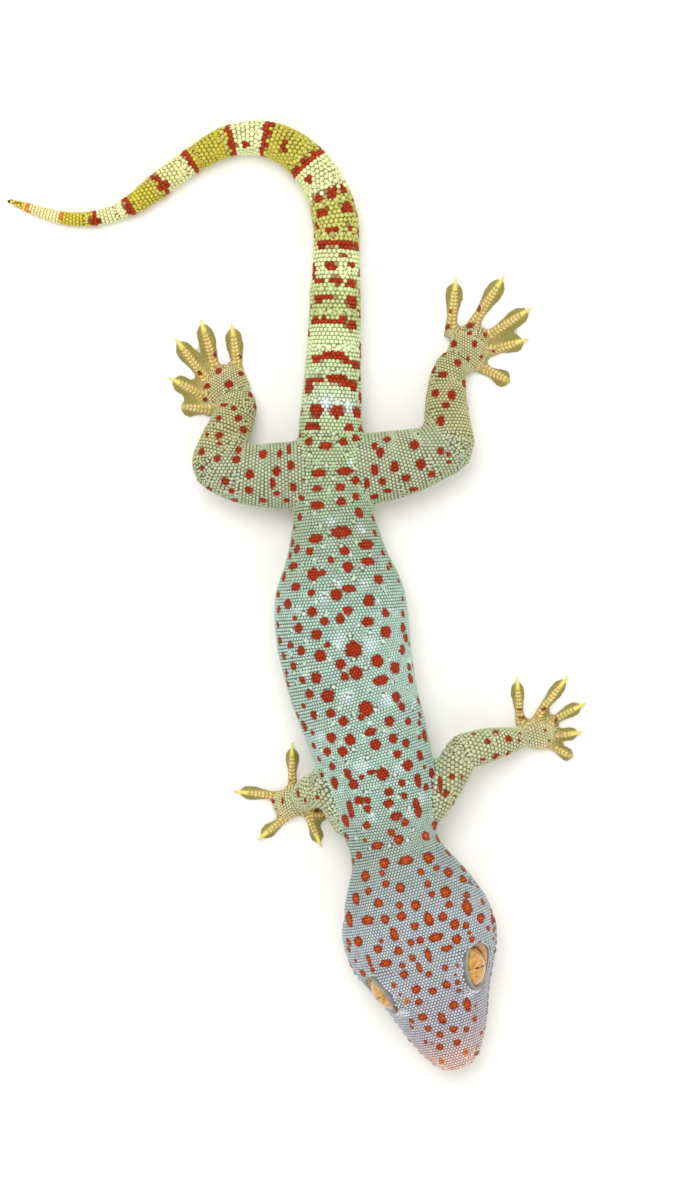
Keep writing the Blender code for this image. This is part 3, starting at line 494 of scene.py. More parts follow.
TAIL_SPOTS = (
    (171.2, -5.6, 1.6, 0.9), (170.8, -3.9, 1, 0.8), (171.2, 5.1, 1.2, 0.9), (175.2, -3.9, 1.7, 1.6),
    (175.2, 1.5, 1.6), (175.4, 6.7, 1, 1.6), (181.6, -6.2, 1.2, 2), (183.3, -4.2, 1.5, 0.8),
    (183.6, 0.8, 2, 1.1), (183.1, 3.3, 1.7, 1.1), (182.4, 5.5, 1.2), (179.5, 7.4, 0.6, 1.5),
    (188.8, -4.4, 1.4, 1), (189.5, -2, 1.5, 0.9), (190.2, -0.2, 0.9, 0.5), (189.8, 1.1, 1.6, 1),
    (189.2, 2.6, 1.4, 0.8), (188.2, 4.4, 1.6, 0.7), (187.5, 6.2, 1.2, 1), (192, 7.1, 0.6, 2.4),
    (195.5, -6.8, 0.5, 1.5), (199, -5, 1.5, 1.1), (198.7, -2.6, 1.9, 0.9), (198.7, -0.1, 1.4, 0.8),
    (199, 2.1, 1.5, 1.2), (197.9, 4.6, 1.8, 1.4), (204.3, -4.8, 1.3, 1), (204.6, -2.6, 1.5, 0.7),
    (205, -0.9, 0.9, 0.5), (204, 4.4, 1.7, 1.5), (209.4, -4.4, 1.6, 0.9), (209.3, 0, 1.7, 1.1),
    (208.9, 4.3, 1.7, 1.5), (209.8, -2, 1.2, 0.4), (209.8, 2.2, 1.2, 0.4), (213, -1.2, 1.5, 1.2),
    (213.5, -2.7, 0.8, 0.5), (213.5, 4.3, 1.1, 1), (215.8, 2.3, 1.1, 0.5), (219, -4.2, 1.6, 1.1),
    (219, -2, 1.8, 0.9), (219, 0.6, 2, 0.9), (218.7, 3.2, 2, 1.1), (218.9, 5.4, 1.1, 1.2),
    (212, -5.7, 0.6, 2), (212, 6.4, 0.5, 1.6), (222.6, -1.6, 1.5, 1), (223.1, 3.6, 1.1, 0.8),
    (224.5, -5, 0.6, 1.2), (227.8, -3.4, 1.9, 1.2), (227.8, 3.7, 1.9, 1.2), (232.3, -3.3, 1.5, 1.1),
    (232.3, 0.6, 1.8, 1.4), (232.3, 4, 1.5, 1), (238.6, -3, 1.2, 1), (261.3, -2.5, 1, 0.8),
    (265.3, -2.2, 1.2, 1.3), (287, -1.6, 1.2, 1.4), (286.4, 4.1, 0.6, 1.2), (316, 2.3, 0.9, 0.8),
    (306.3, -1.3, 0.6, 1), (250.7, 0.3, 1.1, 0.7), (250, -1.8, 1, 0.8),
)
# Rings right round the tail: station, half length along it.
TAIL_RINGS = (
    (242.6, 1.0), (255.9, 1.0), (265.3, 0.75), (277.3, 0.85), (287.3, 0.6), (297.4, 0.85), (306.9, 0.75),
    (330.6, 0.6),
)
# Spots on the limbs, in plan: x, y and half sizes across and along the picture.
HIND_LEFT_SPOTS = (
    (20.9, 38.5, 0.8, 1.2), (24.2, 40.3, 1), (22.3, 36.8, 1.1, 1.4), (31.1, 38.7, 1.3, 1.5),
    (26.1, 33.1, 1.2, 1.6), (32.7, 33.7, 1.4, 1.5), (20.9, 32.3, 1.1, 1.6), (22.9, 29.3, 1.1),
    (28.9, 30.1, 1.3, 1), (35.7, 31.2, 1.1, 0.9), (24.3, 26.9, 1.2, 0.6), (31, 27.4, 1.3, 0.7),
    (20.9, 25.4, 1.1, 0.8), (18.9, 28.8, 0.8, 1.5), (21.2, 43.2, 0.8, 1.3), (25.5, 44, 2, 0.6),
    (29.5, 43.2, 0.7, 0.8), (32.6, 43.6, 1.4, 1.1), (38, 45.1, 1.1, 1.5), (37.9, 37.1, 1, 1.1),
    (39.9, 36.3, 0.7), (40.2, 34.4, 0.8, 0.5), (39.4, 49.3, 1.1, 0.9), (41, 51.9, 1.2, 1.5),
    (36.7, 52.5, 1.1, 1.2), (44.7, 55.2, 1.2, 1.3), (38.7, 57.5, 1.4, 1), (36.4, 59.1, 0.7, 1.1),
    (42.8, 60.7, 1.1), (46.1, 49, 0.6, 1.2), (41.8, 66, 0.9, 1.1), (37.8, 65.3, 0.7, 1.1),
    (40, 70.5, 1.1, 0.8), (40.9, 74.6, 0.7, 0.5), (46.1, 71, 1.1), (45.9, 68.6, 0.7, 0.6),
    (47.3, 65.9, 0.7, 1), (48.5, 75.4, 0.6, 1), (49.1, 62.5, 0.6, 0.5), (52.4, 64.1, 0.6, 0.5),
    (50.1, 68.4, 0.6, 0.8), (45.5, 61.9, 0.5, 0.8),
)
HIND_RIGHT_SPOTS = (
    (-2.3, 41.8, 1.6, 0.7), (-4.8, 39.8, 1.2, 1), (-1.2, 38, 0.6, 2), (-3.6, 36.6, 0.7, 1.2),
    (-0.7, 33.5, 1, 1.4), (-7.9, 36.4, 1.1, 1.5), (-4.4, 31.9, 1.1, 1.3), (-5.4, 28.9, 0.8, 1.6),
    (-4.4, 26.2, 0.9, 0.8), (-11.3, 31.1, 1.2, 1.3), (-11.6, 27.1, 1.2, 1.1), (-16.1, 26.9, 0.9, 0.8),
    (-17.7, 29.4, 1.2), (-14.8, 35, 1.1, 1.2), (-14.3, 37.6, 0.8, 1.3), (-19.8, 35.3, 1.1, 1),
    (-23.9, 37.1, 1, 1.1), (-23.7, 32.9, 0.7, 0.8), (-22.1, 27.6, 1.1, 0.6), (-15.6, 24.4, 1.3, 0.6),
    (-7.9, 24.4, 1.1, 0.7), (-0.1, 27.8, 1, 1.3), (-1.9, 24.4, 1, 0.6), (-13.1, 42.9, 1.3, 1.1),
    (-19.3, 41.4, 1.1, 1), (-19.3, 39.2, 0.8, 0.6), (-22.6, 41.7, 0.6, 0.8), (-14.4, 46.1, 1.1, 1),
    (-19.6, 46, 1, 0.8), (-15.7, 48.7, 0.9), (-18.6, 49.6, 1.4, 0.6), (-10.1, 49.3, 0.5, 0.9),
    (-11.3, 52.6, 0.8, 1.1), (-17.1, 55.3, 1.2, 1.1), (-23.1, 54.9, 1.2, 0.7), (-23.5, 51.4, 0.8, 0.7),
    (-25, 58.4, 0.9, 0.6), (-19.9, 58.9, 0.9, 1), (-13.9, 58.2, 0.9, 0.8), (-14.2, 62.8, 0.8, 0.6),
    (-20.9, 63.2, 0.7, 0.8),
)
FORE_LEFT_SPOTS = (
    (40.8, -46.8, 0.9, 0.8), (43.4, -46.9, 0.6), (39.3, -51.1, 0.9, 1.1), (50.3, -37.9, 1, 0.8),
    (52.5, -35.5, 0.8, 0.6), (46.6, -35.9, 0.6, 0.5), (55.9, -37.4, 1.1, 0.9), (58.6, -38, 0.5, 0.6),
    (59, -36.2, 0.4), (52.4, -41.9, 1), (53.1, -43.5, 0.8, 0.7), (55.8, -41.4, 0.8), (48.9, -42.6, 0.8, 0.6),
    (41.3, -53.9, 0.7, 0.5), (61.1, -35.6, 0.5), (65.8, -35.5, 0.4), (66.8, -38.2, 0.4), (69.1, -38, 0.4),
    (63.6, -32.9, 0.9, 0.5), (65.7, -29.9, 0.9, 0.5), (68.8, -33, 0.5, 0.8), (59.3, -30.1, 1, 0.4),
    (59.9, -32.3, 1.1, 0.4), (37.8, -48.7, 0.6, 2.5), (44.8, -49.3, 0.4, 0.6),
)
FORE_RIGHT_SPOTS = (
    (6, -52.3, 0.8, 0.7), (1, -51.6, 0.5, 1), (3, -53.3, 0.4, 1), (5.8, -56.7, 0.6, 0.4), (7.7, -58.6, 0.5),
    (-5.7, -54.1, 0.6, 0.7), (-3.1, -54, 0.4, 0.8), (-2.2, -58.5, 0.8, 0.5), (-1.2, -48.9, 0.4),
)
PALE_PATCHES = (
    (101.8, -2.3, 2), (83.7, -3.2, 2), (94.6, -11.8, 1.5), (97.9, 7.7, 1.8), (109.3, -11.2, 1),
    (106.8, 16, 1.2), (95, 14.3, 1), (80.7, 5.4, 1.5), (78.4, -10.7, 1), (72.9, -12, 1), (71.8, 9.9, 1.5),
    (69.6, -4, 1.2), (68.7, 5.7, 1.2), (146.8, -0.9, 1.3), (144.3, 6.9, 1.3), (161.8, 5.7, 1.5),
    (161.2, -7.1, 1.2), (130.5, 0, 1.2), (130.3, 6.6, 1.3), (127.1, -4.6, 1.5), (116.2, -0.9, 2),
    (114, 6.6, 2), (110.3, -10.6, 1), (124.6, -10.9, 1), (177, -1, 2.4), (176.6, 4, 2),
)
# Ground colours down the back: station and sRGB. The tail's pale and olive lengths change at its rings.
GROUND = (
    (0, "#f0cfc4"), (4, "#dec3be"), (8, "#c9bcc0"), (13, "#b9bac5"), (24, "#b6bec7"), (38, "#b4c0c6"),
    (52, "#a9b9b9"), (62, "#a5b8ae"), (75, "#aeccc0"), (95, "#b0cdc2"), (125, "#accabd"), (145, "#a4baa0"),
    (160, "#aabf98"), (172, "#b9cf9f"), (177, "#cbdcb9"), (184, "#c3d6a5"), (189, "#c9d9a2"),
    (191, "#dbecb6"), (197, "#d6e7af"), (199.5, "#bcca83"), (208, "#c3cf8c"), (210.5, "#dfecb1"),
    (217, "#dce7ab"), (219.5, "#c3c66d"), (231, "#c0c162"), (233, "#dfe8ae"), (241.5, "#dfe6a8"),
    (243.2, "#c0bb4d"), (255, "#c6bd4f"), (256.8, "#e4ecb2"), (264, "#e2e8a9"), (266, "#c3b943"),
    (276.5, "#c4ba44"), (278.5, "#e6e6a8"), (286, "#e2e19c"), (288, "#c5b940"), (296.5, "#c8bc43"),
    (298.5, "#e9ebb1"), (305.8, "#e6e6aa"), (307.8, "#cdc043"), (315, "#cfc244"), (316.8, "#f1eaa9"),
    (323.8, "#f0e6a0"), (326, "#e5c744"), (331, "#e8d05c"),
)
# The other colours of the markings, of the limbs and toes, of the skin round the eyes, and the painted shade
# in the nostrils.
BELLY = "#e3dfc4"
FLANK = "#c3d2bd"
RED = "#a52d02"
DEEP_RED = "#721f06"
EMBER = "#d0600f"
ORANGE = "#dc7a26"
PALE = "#daf0f2"
LIMB_GROUND = {
    "upper_arm": "#bac09a", "forearm": "#bec59c", "hand": "#ccc89c", "thigh": "#b3be9e", "shank": "#b8ba88",
    "foot": "#bebc90",
}
TOE_MARGIN = "#a69a48"
TOE_RIDGE = "#e2cb80"
TOE_LINE = "#8d6a32"
TOE_TIP = "#ecdf60"
TOE_BREADTH = {"hand": 1.0, "foot": 1.25}
CHEVRON_PITCH = 1.0
SOCKET = 6.15
SOCKET_TONE = "#a9b3a8"
LID_FRONT = "#e4e9f4"
NOSTRIL_SHADE = "#2a1d18"
FLANK_STEP = 4.6  # between the seeded spots low on the flanks, in mm
FLANK_LEVELS = (0.3, 0.62)  # of the back's height
FLANK_SHARE = 0.8  # of the places take a spot
FLANK_CLEAR = 1.9  # half sizes of a spot above that they keep away from it
rng = np.random.default_rng(7)


def drop_on(tree, x, y):
    """The top surface's height at a plan point, or None beside it."""
    hit = tree.ray_cast(Vector((x, y, 60)), Vector((0, 0, -1)))
    return hit[0].z if hit[0] else None


SPOT_GROWTH = ((0, 1.08), (165, 1.08), (172, 1.22), (192, 1.2), (198, 1.08))  # by station


def body_spots(rows):
    """Spot centres in space with their half sizes, and the backbone's direction at each."""
    made = []
    for s, off, across, *rest in rows:
        x, y = on_body(s, off)
        z = drop_on(body_tree, x, y)
        if z is None:
            x, y = on_body(s, off * 0.93)
            z = drop_on(body_tree, x, y) or 4.0
        heading = np.interp(s, spine_s, spine_heading)
        growth = np.interp(s, *zip(*SPOT_GROWTH))
        made.append((x, y, z, across * growth, (rest[0] if rest else across) * growth, heading))
    return made


def limb_spots(rows):
    """Spot centres in space with their half sizes, where a spot off the flesh moves on to it."""
    made = []
    for x, y, across, *rest in rows:
        x, y = (x, y) - PLAN_MIDDLE
        z = drop_on(flesh_tree, x, y)
        if z is None:
            x, y, z = flesh_tree.find_nearest(Vector((x, y, 6)))[0]
        made.append((x, y, z, rest[0] if rest else across, across, 0.0))
    return made


def covered(places, spots):
    """How deep each place is in its nearest spot: 1 or less is inside."""
    best = np.full(len(places), 9.0)
    for x, y, z, across, along, heading in spots:
        near = np.abs(places - (x, y, z)).max(1) < 5
        gap = places[near] - (x, y, z)
        run = gap[:, 0] * math.cos(heading) + gap[:, 1] * math.sin(heading)
        side = gap[:, 0] * math.sin(heading) - gap[:, 1] * math.cos(heading)
        tall = SPOT_REACH * max(across, along)
        depth = (run / along) ** 2 + (side / across) ** 2 + (gap[:, 2] / tall) ** 2
        best[near] = np.minimum(best[near], depth)
    return np.sqrt(best)


def flank_rows():
    """Spots low on the flanks and under the jaw, where the picture doesn't see: staggered and seeded."""
    made = []
    for s in np.arange(30, 236, FLANK_STEP):
        for side in (-1, 1):
            for level in FLANK_LEVELS:
                at = s + rng.uniform(-1.2, 1.2) + (FLANK_STEP / 2 if level > 0.5 else 0)
                middle, back, out = backbone_at(at)
                out = Vector((*(out * side), 0))
                top = drop_on(body_tree, *middle) or 8
                start = Vector((*middle, top * level)) + out * 40
                hit = body_tree.ray_cast(start, -out)[0]
                if hit is not None and rng.random() < FLANK_SHARE:
                    size = rng.uniform(0.7, 1.25) * (0.5 + 0.5 * top / 24)
                    made.append((*hit, size, size * rng.uniform(0.9, 1.6), math.atan2(back[1], back[0])))
    return made


red_body = body_spots(HEAD_SPOTS + NECK_SPOTS + TRUNK_SPOTS + TAIL_SPOTS)
red_spots = red_body + limb_spots(HIND_LEFT_SPOTS + HIND_RIGHT_SPOTS + FORE_LEFT_SPOTS + FORE_RIGHT_SPOTS)
for spot in flank_rows():
    if covered(np.array([spot[:3]]), red_body)[0] > FLANK_CLEAR:
        red_spots.append(spot)
orange_spots = body_spots(ORANGE_SPOTS)
pale_patches = body_spots(PALE_PATCHES)


def mix(low, high, share):
    """Colours in rows, from low to high by each row's share."""
    share = np.clip(share, 0, 1)[:, None]
    return low * (1 - share) + high * share


def toe_ground(places, name):
    """Olive margins, a straw ridge with brown lines that meet in a V towards the claw, a yellow tip."""
    along, side = along_toe(places, name)
    side = np.abs(side)
    breadth = TOE_BREADTH[name.split("_")[0]]
    ridge = np.exp(-((side / (breadth * (1.5 - 0.95 * np.clip(along, 0, 1)))) ** 4))
    travel = along * np.linalg.norm(toes[name][1] - toes[name][0]) - 0.7 * side
    line = np.clip(np.cos(travel * 2 * math.pi / CHEVRON_PITCH) * 1.6 - 0.7, 0, 1) * (side > 0.12)
    straw = mix(linear(TOE_RIDGE), linear(TOE_LINE), line * 0.6)
    tone = mix(linear(TOE_MARGIN), straw, ridge)
    tone = mix(tone, linear(LIMB_GROUND[name.split("_")[0]]), (0.14 - along) * 3)
    return mix(tone, linear(TOE_TIP), (along - 0.8) * 4 * ridge)


def ground(places, facing, names):
    """Linear ground colours by region, with the belly, the pale and the orange patches and the lids."""
    s, _ = along_body(places)
    stops = np.array([row[0] for row in GROUND], float)
    shades = np.array([linear(row[1]) for row in GROUND])
    colours = np.stack([np.interp(s, stops, shades[:, k]) for k in range(3)], 1)
    down = -facing[:, 2]
    trunk = np.clip((238 - s) / 30, 0, 1)
    colours = mix(colours, linear(FLANK), (down + 0.25) * 0.67 * trunk)
    colours = mix(colours, linear(BELLY), np.clip((down - 0.25) * 2.2, 0, 1) * (0.25 + 0.75 * trunk))
    for limb, code in LIMB_GROUND.items():
        here = np.array([name.startswith(limb) for name in names])
        if here.any():
            colours[here] = mix(linear(code), linear(BELLY), (down[here] - 0.2) * 1.6)
    for name in toes:
        here = names == name
        if here.any():
            tone = toe_ground(places[here], name)
            colours[here] = mix(tone, linear(BELLY), (down[here] - 0.3) * 2)
    colours = mix(colours, linear(PALE), (1.25 - covered(places, pale_patches)) * 0.8)
    colours = mix(colours, linear(ORANGE), (1.25 - covered(places, orange_spots)) * 3)
    for side, sign in SIDES.items():
        local = in_eye_frame(places, side)
        off_patch = ((sign * local[:, 1] - 6.9) / 1.5) ** 2 + ((local[:, 2] - 1.6) / 1.6) ** 2
        colours = mix(colours, linear(LID_FRONT), (1.2 - off_patch) * (local[:, 0] > 0))
    # The nostrils' pits are painted near black: painted shade of their openings.
    colours = mix(colours, linear(NOSTRIL_SHADE), (1.3 - from_nostril(places) / NOSTRIL_RADIUS) * 3)
    return mix(colours, linear(SOCKET_TONE), in_socket(places))


def in_socket(places):
    """1 on the bare skin close round the eyeballs, which has no markings, and 0 elsewhere."""
    share = np.zeros(len(places))
    for side in SIDES:
        local = in_eye_frame(places, side)
        off = np.hypot(local[:, 1], local[:, 2])
        share = np.maximum(share, np.clip((SOCKET - off) * 2.5, 0, 1) * (local[:, 0] > 1.5))
    return share


def redness(places, names):
    """1 well inside a red spot or a ring of the tail and 0 outside, and the spot's own colour there."""
    wobble = 0.09 * np.sin(places[:, 0] * 3.1 + places[:, 1] * 2.3) + 0.07 * np.sin(places[:, 1] * 5.3)
    red = covered(places, red_spots) + wobble
    s, off = along_body(places)
    is_body = np.array([name in BODY for name in names])
    for at, half in TAIL_RINGS:
        ring = np.abs(s - at + 0.25 * np.sin(off * 2.1)) / half
        red = np.where(is_body, np.minimum(red, ring), red)
    tone = mix(linear(DEEP_RED), linear(RED), (1.12 - red) * 2.2)
    glow = np.clip((0.8 - red) * 1.6, 0, 1) * np.clip((75 - s) / 15, 0.1, 1) * is_body
    return np.clip((1.1 - red) * 5, 0, 1) * (1 - in_socket(places)), mix(tone, linear(EMBER), glow)


def colour_points(mesh, colours):
    """Gives a mesh its markings, one linear colour to a point."""
    flat = np.ones((len(colours), 4), np.float32)
    flat[:, :3] = colours
    layer = mesh.color_attributes.new("markings", "FLOAT_COLOR", "POINT")
    layer.data.foreach_set("color", flat.ravel())


# Between the scales the hide is darker and warmer than the scales themselves, and deeper red in a spot:
# partly its own colour and partly painted shade in the gaps between the scales.
HIDE_TONE_AND_SHADE = np.array((0.36, 0.27, 0.19))
HIDE_TONES_AND_SHADES = {"body": HIDE_TONE_AND_SHADE, "limb": HIDE_TONE_AND_SHADE, "palm": 1.6 * HIDE_TONE_AND_SHADE, "toe": (0.9, 0.9, 0.9)}
HIDE_SPOT_TONE_AND_SHADE = 0.5
LIMB_BLEND = 50
hide_colours = ground(points, normals, owner)
# The limbs' colours run into each other over a few millimetres.
hide_regions = np.array([region(name) for name in owner])
blended = hide_colours.copy()
for _ in range(LIMB_BLEND):
    blended = mean_of_neighbours(blended, edges)
on_limb = (hide_regions == "limb") | (hide_regions == "palm")
hide_colours[on_limb] = blended[on_limb]
limb_colours = hide_colours.copy()
hide_red, hide_spots = redness(points, owner)
bare_skin = in_socket(points)[:, None]
tint = np.array([HIDE_TONES_AND_SHADES[name] for name in hide_regions])
# Painted shade: the hide, seen only in the gaps between the scales, is darkened by its region's share, and a
# spot's red more so.
hide_colours = mix(hide_colours * (tint * (1 - bare_skin) + bare_skin), hide_spots * HIDE_SPOT_TONE_AND_SHADE, hide_red)
colour_points(hide_mesh, hide_colours)
hide_mesh.shade_smooth()


def add_node(tree, kind, settings=None, **links):
    """Adds a node. settings are its own values, and links are its inputs: a number, a colour or an output."""
    node = tree.nodes.new(kind)
    for key, value in (settings or {}).items():
        setattr(node, key, value)
    sockets = {socket.identifier.replace(" ", "_"): socket for socket in node.inputs}
    for key, value in links.items():
        if isinstance(value, bpy.types.NodeSocket):
            tree.links.new(value, sockets[key])
        else:
            sockets[key].default_value = value
    return node


# Living hide is soft and slightly moist, so its shine is broad and dull and a little light sinks in.
# Fine granules of about 0.4 mm roughen it, with darker lines between them.
GRAIN_PER_METRE = 2300.0
GRAIN_HEIGHT = 0.00012
GRAIN_LINE = 0.72  # of the colour
MIX_COLOUR = 2  # which of a Mix node's outputs is the colour
hide_material, tree, shader = new_finish(
    "hide, soft and slightly moist", Roughness=0.55, Subsurface_Weight=0.08, Subsurface_Scale=0.0008
)
markings = add_node(tree, "ShaderNodeVertexColor", {"layer_name": "markings"})
where = add_node(tree, "ShaderNodeTexCoord")
grain = add_node(tree, "ShaderNodeTexVoronoi", Vector=where.outputs["Object"], Scale=GRAIN_PER_METRE)
bump = add_node(
    tree, "ShaderNodeBump", {"invert": True}, Height=grain.outputs["Distance"], Strength=0.6,
    Distance=GRAIN_HEIGHT,
)
between = add_node(
    tree, "ShaderNodeMapRange", Value=grain.outputs["Distance"], From_Min=0.2, From_Max=0.75, To_Min=1.0,
    To_Max=GRAIN_LINE,
)
grainy = add_node(
    tree, "ShaderNodeMix", {"data_type": "RGBA", "blend_type": "MULTIPLY"}, Factor_Float=1.0,
    A_Color=markings.outputs["Color"], B_Color=between.outputs["Result"],
)
tree.links.new(grainy.outputs[MIX_COLOUR], shader.inputs["Base Color"])
tree.links.new(bump.outputs["Normal"], shader.inputs["Normal"])
hide_mesh.materials.clear()
hide_mesh.materials.append(hide_material)
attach(hide, "root")
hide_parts(*FLESH)

# The eyes are clear, wet balls with a golden iris and a narrow upright pupil. Each sits in its lids.
EYE_RADIUS = 6.35
CORNEA_BULGE = 0.012
EYE_SEGMENTS = 96
EYE_RINGS = 64

# The cornea's tear film is smooth and gives a sharp highlight. Under it the iris is veined in brown
# and gold, about one vein to a millimetre, and the pupil's slit narrows in a wavy line to its ends.
VEINS_PER_MM = 1.1
VEIN_BROWN = "#b06f25"
VEIN_GOLD = "#e2b25c"
PUPIL_DARK = "#2c1a0c"
PUPIL_HALF = 0.2
PUPIL_WAVER = 0.09
PUPIL_TAPER = -0.03
iris, tree, shader = new_finish(
    "eye, wet cornea over a golden iris", Roughness=0.12, IOR=1.376, Coat_Weight=0.6, Coat_Roughness=0.03
)
in_eye = add_node(tree, "ShaderNodeAttribute", {"attribute_name": "iris"})
veins = add_node(
    tree, "ShaderNodeTexNoise", Vector=in_eye.outputs["Vector"], Scale=VEINS_PER_MM, Detail=6.0,
    Roughness=0.65,
)
vein_tones = add_node(tree, "ShaderNodeValToRGB", Fac=veins.outputs["Fac"])
for stop, place, code in zip(vein_tones.color_ramp.elements, (0.33, 0.62), (VEIN_BROWN, VEIN_GOLD)):
    stop.position = place
    stop.color = (*linear(code), 1)
parts = add_node(tree, "ShaderNodeSeparateXYZ", Vector=in_eye.outputs["Vector"])
across = add_node(tree, "ShaderNodeMath", {"operation": "ABSOLUTE"}, Value=parts.outputs["Y"])
tall = add_node(tree, "ShaderNodeMath", {"operation": "ABSOLUTE"}, Value=parts.outputs["Z"])
waver = add_node(tree, "ShaderNodeMath", {"operation": "SINE"})
turns = add_node(tree, "ShaderNodeMath", {"operation": "MULTIPLY"}, Value=parts.outputs["Z"], Value_001=3.0)
tree.links.new(turns.outputs[0], waver.inputs[0])
width = add_node(
    tree, "ShaderNodeMath", {"operation": "MULTIPLY_ADD"}, Value=waver.outputs[0], Value_001=PUPIL_WAVER,
    Value_002=PUPIL_HALF,
)
taper = add_node(
    tree, "ShaderNodeMath", {"operation": "MULTIPLY_ADD"}, Value=tall.outputs[0], Value_001=PUPIL_TAPER
)
tree.links.new(width.outputs[0], taper.inputs[2])
slit = add_node(tree, "ShaderNodeMath", {"operation": "LESS_THAN"}, Value=across.outputs[0])
tree.links.new(taper.outputs[0], slit.inputs[1])
eye_tone = add_node(
    tree, "ShaderNodeMix", {"data_type": "RGBA"}, Factor_Float=slit.outputs[0],
    A_Color=vein_tones.outputs["Color"], B_Color=(*linear(PUPIL_DARK), 1),
)
tree.links.new(eye_tone.outputs[MIX_COLOUR], shader.inputs["Base Color"])

for side in SIDES:
    bpy.ops.mesh.primitive_uv_sphere_add(segments=EYE_SEGMENTS, ring_count=EYE_RINGS, radius=EYE_RADIUS)
    eye = bpy.context.object
    eye.name = f"eyeball_{side}"
    local = points_of(eye.data)
    forward = np.clip(local[:, 0] / EYE_RADIUS, 0, 1)
    layer = eye.data.attributes.new("iris", "FLOAT_VECTOR", "POINT")
    layer.data.foreach_set("vector", local.astype(np.float32).ravel())
    bulge = 1 + CORNEA_BULGE * np.clip((forward - 0.8) / 0.2, 0, 1)
    eye.data.vertices.foreach_set("co", (local * bulge[:, None]).astype(np.float32).ravel())
    eye.data.transform(Matrix.Diagonal((0.001, 0.001, 0.001, 1)) @ eye_frames[side])
    eye.data.materials.append(iris)
    eye.data.shade_smooth()
    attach(eye, "root")
    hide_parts(f"eye_{side}")

# The lids are a thin rim of skin that lies on the eyeball and stands a little proud of the socket. Its
# inner edge is tan and beaded, then come a dark groove and a pale lip, which is whitest ahead of the eye.
LID_TURNS = 144
LID_OPENING = (5.3, 4.75)  # half length along the head and half height
LID_POINT = 1.65  # 2 would be an ellipse, and less draws its ends to points
# The last two rows darken where the lid sinks into the socket: that is painted shade.
LID_ROWS = (  # mm out from the opening, how far it leaves the eyeball for the lip, rise over the lip, colour
    (-0.1, 0, 0.04, "#6b4a30"), (0.12, 0.3, 0.06, "#d9a878"), (0.46, 0.75, 0.1, "#dcb48c"),
    (0.66, 0.95, -0.06, "#574436"), (0.85, 1, 0.16, "#ccd8d6"), (1.2, 1, 0.14, "#b4c0bc"),
    (1.6, 1, -0.35, "#8f9a94"),
)
LID_BEADS = 24
LID_BEAD_RISE = 0.06
LID_BEAD = "#e2c09a"
LID_DARK = "#7b4a2c"
OUT_OF_HEAD = 14  # where the search for the socket's lip starts, in mm from the eyeball's middle
LIP_DEPTH = 9.5  # how far in the lip lies where the search misses it
LIP_BLUNT = 6  # turns either way over which the lip is evened out


def joined_piece(bm, name, material):
    """Links a mesh that was made in millimetres as one smooth piece."""
    bmesh.ops.scale(bm, vec=(0.001,) * 3, verts=bm.verts)
    mesh = bpy.data.meshes.new(name)
    bm.to_mesh(mesh)
    bm.free()
    mesh.shade_smooth()
    mesh.materials.append(material)
    piece = bpy.data.objects.new(name, mesh)
    bpy.context.scene.collection.objects.link(piece)
    return piece


def close_rings(bm, rings):
    """Bridges each ring of points to the next."""
    for near, far in zip(rings, rings[1:]):
        for k in range(len(near)):
            after = (k + 1) % len(near)
            bm.faces.new((near[k], near[after], far[after], far[k]))


skin_tree = BVHTree.FromPolygons([Vector(p) for p in points], quads.tolist())
lids = bmesh.new()
lid_tones = []
for side, sign in SIDES.items():
    seat = eye_frames[side]
    gaze = seat.to_3x3() @ Vector((1, 0, 0))
    turns = 2 * math.pi * np.arange(LID_TURNS) / LID_TURNS
    lip = []
    for around in turns:
        outside = seat @ Vector((OUT_OF_HEAD, SOCKET * math.cos(around), SOCKET * math.sin(around)))
        lip.append(OUT_OF_HEAD - (skin_tree.ray_cast(outside, -gaze)[3] or LIP_DEPTH))
    window = np.ones(2 * LIP_BLUNT + 1) / (2 * LIP_BLUNT + 1)
    lip = np.convolve(np.pad(lip, LIP_BLUNT, "wrap"), window, "valid")
    rings = []
    for stand, leave, rise, code in LID_ROWS:
        ring = []
        for k, around in enumerate(turns):
            above = max(0, math.sin(around))
            ahead_share = max(0, sign * math.cos(around)) ** 3
            along, up = abs(math.cos(around)) / LID_OPENING[0], abs(math.sin(around)) / LID_OPENING[1]
            reach = stand + (along**LID_POINT + up**LID_POINT) ** (-1 / LID_POINT)
            bead = above * math.sin(around * LID_BEADS) * (0 < leave < 0.8)
            on_ball = math.sqrt(EYE_RADIUS**2 - min(reach, 6.2) ** 2)
            x = (1 - leave) * on_ball + leave * lip[k] + rise + LID_BEAD_RISE * bead
            spot = Vector((x, reach * math.cos(around), reach * math.sin(around)))
            ring.append(lids.verts.new(seat @ spot))
            tone = mix(linear(code), linear(LID_BEAD), np.array([bead]))
            tone = mix(tone, linear(LID_DARK), np.array([-bead * 0.7]))
            tone = mix(tone, linear(LID_FRONT), np.array([ahead_share * leave]))
            lid_tones.append(tone[0])
        rings.append(ring)
    close_rings(lids, rings)
lid_piece = joined_piece(lids, "eyelids", hide_material)
colour_points(lid_piece.data, np.array(lid_tones))
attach(lid_piece, "root")

# The claws are short hooked cones of yellow horn. Each rises out of the ridge of its toe and curves
# down past the pad's tip. The first toe of each foot has none.
CLAW_LENGTH = 3.9
CLAW_ROOT_BACK = 2.3
CLAW_ROOT_UP = 1.9
CLAW_ARCH = 0.4
CLAW_HOOK = 1.4
CLAW_THICK = 0.56
CLAW_POINT = 0.03
CLAW_RINGS = 9
CLAW_SIDES = 10

